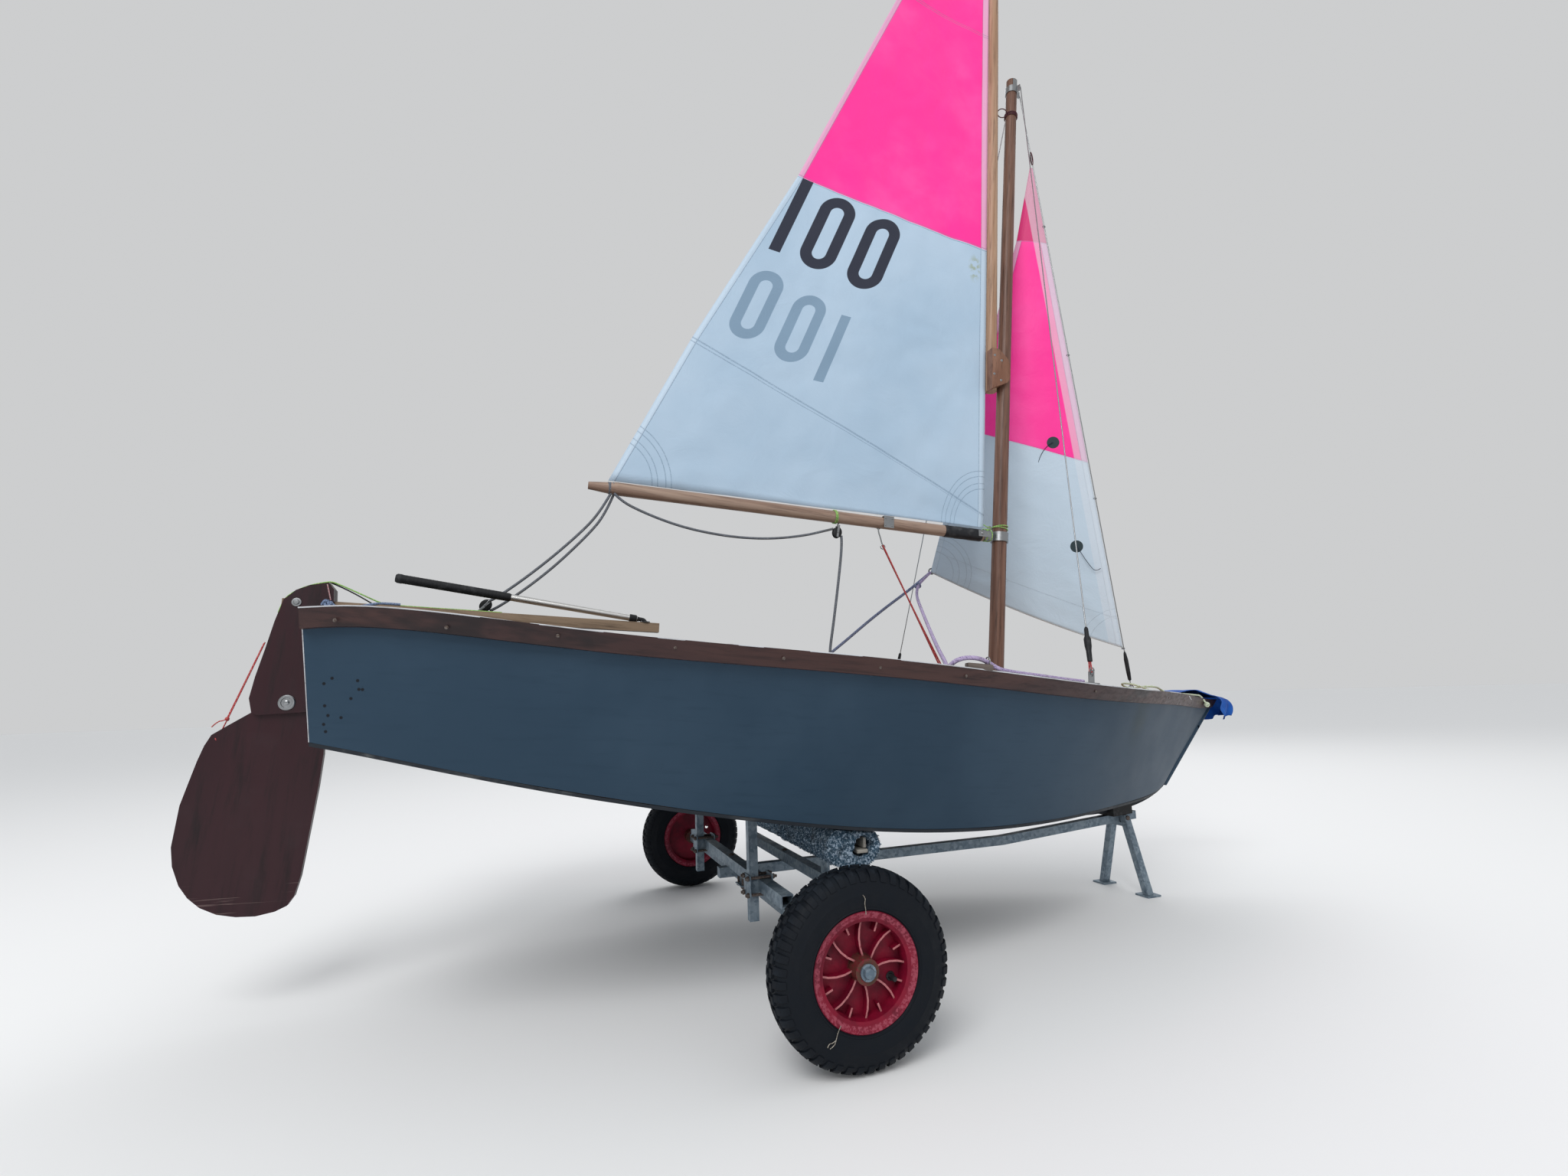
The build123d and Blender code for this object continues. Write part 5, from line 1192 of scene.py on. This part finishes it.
# Trolley frame: hot-dip galvanised square tube, with the mottled grey of old zinc. Rusty bolts
# and clamp plates hold the props to the cross tube and the tubes to each other.
ZINC = (0.11, 0.155, 0.2)
ZINC_PALE = (0.26, 0.32, 0.37)
zinc = Finish("galvanised", Metallic=0.55)
spangle = zinc.add("TexVoronoi", inputs={"Vector": zinc.place(), "Scale": 110.0}, output="Color")
spangle = zinc.axes(spangle)[0]
cloud = zinc.noise(zinc.place(), 14, 5)
colour = zinc.mix((spangle * 0.3 + cloud * 0.8).between(0.3, 0.8), ZINC, ZINC_PALE)
bloom = zinc.noise(zinc.place(), 38, 5, 0.7).between(0.66, 0.78)
colour = zinc.mix(bloom * 0.5, colour, (0.15, 0.085, 0.055))
zinc.set(Base_Color=colour, Roughness=cloud.between(0.3, 0.7, 0.42, 0.68))
zinc.bump(cloud + spangle * 0.2, 0.0006)
dress(zinc, "axle", "tongue", "cross_tube", "props", "bunk_beam", "front_leg")
zinc.slot = "galvanised"
PROP_X, PROP_Y, CROSS_Z = -0.3687, 0.32, 0.2596


def bolt(bm, start, way, length, first, second):
    """A rusty rod with a rounded end each way, and a nut at each of two distances along it"""
    end = [(0.004, length - 0.001), (0.0034, length), (0, length)]
    put(bm, turned([(0, 0), (0.0036, 0), (0.004, 0.0006)] + end, 12), aim(start, way))
    for reach in (first, second):
        put(bm, nut(0.0072, 0.0062), aim(start + reach * Vector(way), way))


bm = bmesh.new()
plates = bmesh.new()
for side in (-1, 1):
    for x in (PROP_X - 0.0147, -0.3217):
        put(plates, block((0.004, 0.06, 0.058), 0.0012), shift(x, side * PROP_Y, CROSS_Z))
    for along, up in ((0.0215, 0.0215), (-0.0215, -0.0215), (0.0215, -0.0215), (-0.0215, 0.0215)):
        start = Vector((-0.396, side * PROP_Y + along, CROSS_Z + up))
        bolt(bm, start, (1, 0, 0), 0.089, 0.004, 0.0763)
for along in (-0.024, 0.024):
    for reach in (-0.019, 0.019):
        start = Vector((-0.2929 + reach, along, 0.176))
        bolt(bm, start, (0, 0, 1), 0.083, 0.002, 0.0722)
for width, z in ((0.056, 0.1848), (0.05, 0.2458)):
    put(plates, block((width, 0.064, 0.004), 0.0012), shift(-0.2929, 0, z))
for x, z in ((-0.3399, 0.2756), (-0.1629, 0.2736)):
    head = turned([(0, 0.0052), (0.0045, 0.0046), (0.0085, 0.0018), (0.009, 0)], 18)
    put(bm, head, aim((x, 0, z), (0, 0, 1)))
for side in (-1, 1):
    put(bm, nut(0.0095, 0.0075, 0.001), aim((1.1972, side * 0.0405, 0.265), (0, side, 0)))
    washer = turned([(0, 0.0018), (0.0115, 0.0018), (0.012, 0)], 20)
    put(plates, washer, aim((1.1972, side * 0.04, 0.265), (0, side, 0)))
piece("trolley_bolts", bm, rust)
piece("trolley_plates", plates, zinc)


# Bow chock: a moulded black rubber vee, bolted to the tongue and scuffed grey where the keel
# sits in it.
rubber = Finish("chock rubber", Roughness=0.75)
scuffed = rubber.noise(rubber.place(), 60, 4)
colour = rubber.mix(scuffed.between(0.5, 0.8), (0.012, 0.012, 0.013), (0.05, 0.052, 0.054))
rubber.set(Base_Color=colour)
rubber.bump(scuffed, 0.0006)
dress(rubber, "bow_chock")


# Bolster: an old roll of grey pile carpet over a timber core, ragged and hollow at its ends,
# that carries the hull. The pile is cut loops, thick and matted, with a painted highlight on its
# high tufts and painted shade in the hollows between them.
CARPET = (0.04, 0.08, 0.12)
CARPET_TUFT_HIGHLIGHT = (0.33, 0.41, 0.5)
CARPET_HOLLOW_SHADE = (0.012, 0.02, 0.032)
carpet = Finish("carpet", Roughness=0.95, Specular_IOR_Level=0.1)
tuft = carpet.noise(carpet.place(), 150, 3, 0.7)
patchy = carpet.noise(carpet.place(), 22, 4)
# Painted highlight on the high tufts and painted shade in the low hollows, on the bump's own noise
colour = carpet.mix(tuft.between(0.48, 0.6), CARPET, CARPET_TUFT_HIGHLIGHT)
colour = carpet.mix(tuft.below(0.3, 0.42), colour, CARPET_HOLLOW_SHADE)
colour = carpet.mix(patchy.between(0.45, 0.75, 0.0, 0.45), colour, (0.09, 0.085, 0.075))
carpet.set(Base_Color=colour)
carpet.bump(tuft, 0.003, 1.0)
bm = bmesh.new()
bm.from_mesh(nodes["bolster"].data)
bmesh.ops.remove_doubles(bm, verts=bm.verts, dist=1e-5)
roll_mesh = bpy.data.meshes.new("carpet_roll")
bm.to_mesh(roll_mesh)
bm.free()
roll = link("carpet_roll", roll_mesh)
remesh = roll.modifiers.new("remesh", "REMESH")
remesh.mode, remesh.voxel_size = "VOXEL", 0.0052
ready = bpy.data.meshes.new_from_object(roll.evaluated_get(bpy.context.evaluated_depsgraph_get()))
bpy.data.objects.remove(roll)
ROLL_X, ROLL_Z, ROLL_END = -0.1629, 0.378, 0.545
bm = bmesh.new()
bm.from_mesh(ready)
bm.normal_update()
spots_for_tufts, TUFT_ROOT = [], 0.0015
for vert in bm.verts:
    side = -1 if vert.co.y < 0 else 1
    inward = ROLL_END - abs(vert.co.y)
    x, z = vert.co.x - ROLL_X - 0.024, vert.co.z - ROLL_Z + 0.006
    ragged = 0.028 + 0.009 * noise.noise(Vector((x * 60, side * 3, z * 60)))
    far = sqrt(x * x + (z * 1.15) ** 2)
    if inward < 0.004 and far < ragged:
        vert.co.y -= side * 0.075 * min(1.0, (ragged - far) / 0.006)
        continue
    fray = noise.noise(Vector((vert.co.x * 45, side, vert.co.z * 45)))
    vert.co.y += side * min(max(0.0, 1 - inward / 0.02) * 0.012 * fray, 0.0)
    pile = noise.noise(vert.co * 120) * 0.0022 + noise.noise(vert.co * 38) * 0.002 - 0.002
    under_hull = vert.normal.z > 0.35
    vert.co += vert.normal * (min(pile, 0) if under_hull else pile)
    if not under_hull and inward < 0.42:
        spots_for_tufts.append((vert.co.copy(), vert.normal.copy()))
# noise_vector takes its seed from the clock unless one is set
noise.seed_set(1)
for spot, normal in spots_for_tufts:
    lean = noise.noise_vector(spot * 310) * 0.9
    length = 0.0045 + 0.003 * noise.noise(spot * 205)
    yarn, lift = bmesh.new(), shift(0, 0, length / 2 - TUFT_ROOT)
    bmesh.ops.create_cone(yarn, cap_ends=False, segments=3, radius1=TUFT_ROOT, radius2=0.0004,
        depth=length, matrix=lift)
    jitter = noise.noise_vector(spot * 520) * 0.0022
    bmesh.ops.transform(yarn, matrix=aim(spot + jitter, normal + lean), verts=yarn.verts)
    part = bpy.data.meshes.new("yarn")
    yarn.to_mesh(part)
    yarn.free()
    bm.from_mesh(part)
    bpy.data.meshes.remove(part)
bolster = piece("carpet_bolster", bm, carpet, "root", sharp=70)
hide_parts("bolster")
CORE = (0.1, 0.085, 0.07), (0.26, 0.24, 0.21), (0.36, 0.34, 0.3)
core_wood = wood("core timber", ((0, 0, 0), (0, 0, 0)), (1, 14, 1), CORE, grain=80)
bm = bmesh.new()
for side in (-1, 1):
    flat_bar = shift(ROLL_X + 0.026, side * (ROLL_END - 0.071), ROLL_Z - 0.016)
    put(bm, block((0.03, 0.12, 0.009), 0.001), flat_bar)
    high_bar = shift(ROLL_X + 0.036, side * (ROLL_END - 0.072), ROLL_Z + 0.004)
    put(bm, block((0.008, 0.11, 0.026), 0.001), high_bar)
piece("bolster_core", bm, core_wood, "root")


# Wheels: pneumatic tyres with square tread blocks, on crimson plastic centres that are scuffed
# pink along their flanges and ribs and stained with rust round the hub.
WHEEL_X, WHEEL_Y, WHEEL_Z = -0.2929, 0.825, 0.2
# Half section of the carcass under the tread: radius, distance from the middle
TYRE_LINE = [(0.1045, 0.0296), (0.1165, 0.0384), (0.1198, 0.0404), (0.1212, 0.043),
    (0.1232, 0.0434), (0.125, 0.0426), (0.133, 0.0462), (0.142, 0.0476), (0.1496, 0.0479),
    (0.1508, 0.0484), (0.1524, 0.0484), (0.1536, 0.0477), (0.165, 0.046), (0.174, 0.043),
    (0.182, 0.0388), (0.188, 0.0325), (0.192, 0.024), (0.1945, 0.013), (0.1952, 0.003)]
# Tread rows: section as (distance from the middle, radius), share of the pitch, start, side
SHOULDER = [(0.019, 0.1985), (0.03, 0.1945), (0.0392, 0.1868), (0.044, 0.1765), (0.0395, 0.174),
    (0.018, 0.19)]
MIDDLE = [(0.0025, 0.1998), (0.015, 0.199), (0.0158, 0.192), (0.0015, 0.1935)]
TREAD_ROWS = [(SHOULDER, 0.6, 0.0, 1), (SHOULDER, 0.6, 0.5, -1), (MIDDLE, 0.66, 0.35, 1),
    (MIDDLE, 0.66, 0.85, -1)]
TREAD_COUNT, LUG_EDGE = 48, 0.0007
tyre_rubber = Finish("tyre rubber", Specular_IOR_Level=0.18)
tyre_rubber.slot = "tyre_rubber"
spot = tyre_rubber.place((0, 0, WHEEL_Z))
along, _, up = tyre_rubber.axes(spot)
dirt = tyre_rubber.noise(spot, 26, 5, 0.65)
radial = (along - WHEEL_X).beside(up)
dusty = radial.between(0.176, 0.196, 0.15, 0.75) * dirt.between(0.4, 0.7)
colour = tyre_rubber.mix(dusty, (0.003, 0.005, 0.0085), (0.012, 0.017, 0.024))
tyre_rubber.set(Base_Color=colour, Roughness=dirt.between(0.25, 0.75, 0.52, 0.8))
tyre_rubber.bump(dirt + tyre_rubber.noise(spot, 300, 2) * 0.2, 0.0006, 0.7)
for side, name in ((1, "port"), (-1, "starboard")):
    hub = aim((WHEEL_X, side * WHEEL_Y, WHEEL_Z), (0, side, 0))
    bm = bmesh.new()
    whole = TYRE_LINE + [(radius, -half) for radius, half in reversed(TYRE_LINE)] + [TYRE_LINE[0]]
    put(bm, turned(whole, 96), hub)
    for section, share, start, half in TREAD_ROWS:
        width = pi / TREAD_COUNT * share
        ring = [(radius * cos(width), -radius * sin(width), half * at) for at, radius in section]
        for k in range(TREAD_COUNT):
            lug = bmesh.new()
            face = lug.faces.new([lug.verts.new(at) for at in ring])
            moved = bmesh.ops.extrude_face_region(lug, geom=[face])["geom"]
            across = [item for item in moved if isinstance(item, bmesh.types.BMVert)]
            swing = Matrix.Rotation(2 * width, 3, "Z")
            bmesh.ops.rotate(lug, cent=(0, 0, 0), matrix=swing, verts=across)
            bmesh.ops.recalc_face_normals(lug, faces=lug.faces)
            turn = Matrix.Rotation(2 * pi * (k + start) / TREAD_COUNT, 4, "Z")
            put(bm, softened(lug, LUG_EDGE, 1), hub @ turn)
    tyre = piece("treaded_tyre_" + name, bm, tyre_rubber, "wheel_" + name, sharp=32)
    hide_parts("tyre_" + name)

RIM_RED = (0.2, 0.002, 0.02)
RIM_DEEP = (0.095, 0.0012, 0.012)
RIM_PINK = (0.3, 0.055, 0.085)
rim_red = Finish("rim plastic", Specular_IOR_Level=0.25)
spot = rim_red.place((0, 0, WHEEL_Z))
along, across, up = rim_red.axes(spot)
radial, depth = (along - WHEEL_X).beside(up), (across.size() - WHEEL_Y).size()
facing = rim_red.axes(rim_red.add("NewGeometry", output="Normal"))[1].size()
blotch = rim_red.noise(spot, 20, 5, 0.6)
fine = rim_red.noise(spot, 130, 5, 0.7)
colour = rim_red.mix(blotch.between(0.35, 0.7), RIM_RED, RIM_DEEP)
flange = radial.between(0.1025, 0.1045) * facing.between(0.6, 0.9)
colour = rim_red.mix(flange * (fine.between(0.44, 0.58) * 0.8 + 0.1), colour, RIM_PINK)
rib = depth.between(0.0205, 0.0215) * depth.below(0.0225, 0.024) * facing.between(0.8, 0.95)
colour = rim_red.mix(rib * fine.between(0.25, 0.55, 0.35, 0.9), colour, (0.46, 0.17, 0.18))
rusty = radial.below(0.024, 0.031) * fine.between(0.28, 0.55)
colour = rim_red.mix(rusty * 0.9, colour, (0.07, 0.04, 0.024))
rim_red.set(Base_Color=colour, Roughness=fine.between(0.2, 0.8, 0.4, 0.65))
rim_red.bump(fine, 0.0004, 0.6)
dress(rim_red, "rim_port", "rim_starboard")


# Wheel fittings: domed zinc caps on the axle's ends, a black valve in each centre, and ends of
# pale string caught between tyre and flange.
bm = bmesh.new()
for side in (-1, 1):
    dome = [(0, 0.003), (0.006, 0.0026), (0.01, 0.001), (0.0118, -0.002), (0.012, -0.0048)]
    put(bm, turned(dome, 28), aim((WHEEL_X, side * 0.877, WHEEL_Z), (0, side, 0)))
    pin = turned([(0, -0.016), (0.0016, -0.0155), (0.0016, 0.0155), (0, 0.016)], 10)
    put(bm, pin, aim((WHEEL_X, side * 0.874, WHEEL_Z), (0.5, 0, 1)))
piece("axle_caps", bm, zinc)
string = cord_finish("pale string", (0.36, 0.33, 0.28), (0.16, 0.14, 0.12))
for side, name in ((1, "port"), (-1, "starboard")):
    valve = aim((WHEEL_X + 0.0684, side * WHEEL_Y, WHEEL_Z - 0.0283), (0, side, 0))
    bm = bmesh.new()
    stem = [(0.0062, -0.016), (0.0062, 0.004), (0.005, 0.006), (0.0046, 0.014), (0.0056, 0.015)]
    stem += [(0.0056, 0.026), (0.0046, 0.028), (0, 0.028)]
    put(bm, turned(stem, 16), valve)
    grommet = [(0.006, 0.005), (0.0092, 0.005), (0.0098, 0.0062), (0.0092, 0.0074)]
    put(bm, turned(grommet + [(0.006, 0.0074)], 20), valve)
    piece("valve_" + name, bm, black_rubber, "wheel_" + name)
# Ends of string on the starboard tyre: along, out from the wheel's middle, up from the axle
string_runs = [[(0.002, 0.0425, 0.112), (0.001, 0.0452, 0.1215), (-0.003, 0.0487, 0.136)],
    [(-0.064, 0.0425, -0.09), (-0.072, 0.045, -0.1), (-0.078, 0.0482, -0.112)],
    [(-0.078, 0.0486, -0.112), (-0.086, 0.0494, -0.116), (-0.094, 0.0495, -0.115)]]
string_runs[0] += [(0.0, 0.0494, 0.146), (-0.006, 0.0492, 0.152)]
string_runs[1] += [(-0.082, 0.0492, -0.121), (-0.092, 0.0494, -0.125)]
string_runs[2] += [(-0.097, 0.0494, -0.122)]
for k, run in enumerate(string_runs):
    points = [Vector((WHEEL_X + x, -WHEEL_Y - out, WHEEL_Z + z)) for x, out, z in run]
    line("string_end_%d" % (k + 1), points, 0.0016, string, "wheel_starboard")


# Floor and light: a plain pale floor that goes on to the backdrop, two soft lamps and an even
# sky.
FLOOR = (0.86, 0.86, 0.86)
bm = bmesh.new()
bmesh.ops.create_grid(bm, x_segments=1, y_segments=1, size=60)
floor_mesh = bpy.data.meshes.new("floor")
bm.to_mesh(floor_mesh)
bm.free()
floor = link("floor", floor_mesh)
floor_finish = Finish("floor", Base_Color=FLOOR, Roughness=0.9)
floor.data.materials.append(floor_finish.material)

# The sky lights the boat, but a camera or a mirror sees the plain backdrop in its place
SKY, SKY_STRENGTH = (0.86, 0.88, 0.9), 0.82
BACKDROP = (0.61, 0.616, 0.622)
world = bpy.data.worlds.new("sky")
bpy.context.scene.world = world
world.use_nodes = True
kit, join = world.node_tree.nodes, world.node_tree.links.new
lit, seen = kit["Background"], kit.new("ShaderNodeBackground")
for shader, colour, strength in ((lit, SKY, SKY_STRENGTH), (seen, BACKDROP, 1)):
    shader.inputs["Color"].default_value = (*colour, 1)
    shader.inputs["Strength"].default_value = strength
rays, either = kit.new("ShaderNodeLightPath"), kit.new("ShaderNodeMixShader")
mask = rays.outputs["Is Camera Ray"]
for kind in ("Is Glossy Ray", "Is Transmission Ray"):
    more = kit.new("ShaderNodeMath")
    more.operation = "MAXIMUM"
    join(mask, more.inputs[0])
    join(rays.outputs[kind], more.inputs[1])
    mask = more.outputs[0]
join(mask, either.inputs["Fac"])
join(lit.outputs[0], either.inputs[1])
join(seen.outputs[0], either.inputs[2])
join(either.outputs[0], kit["World Output"].inputs["Surface"])

LAMPS = [("high lamp", (-3.5, -5.0, 6.0), 4.0, 300), ("far lamp", (4.0, 5.0, 6.5), 5.0, 160)]
for name, place, width, power in LAMPS:
    lamp = bpy.data.lights.new(name, "AREA")
    lamp.size, lamp.energy = width, power
    holder = link(name, lamp)
    holder.location = place
    holder.rotation_euler = (Vector((0, 0, 1)) - Vector(place)).to_track_quat("-Z", "Y").to_euler()

bpy.context.scene.view_settings.view_transform = "Standard"
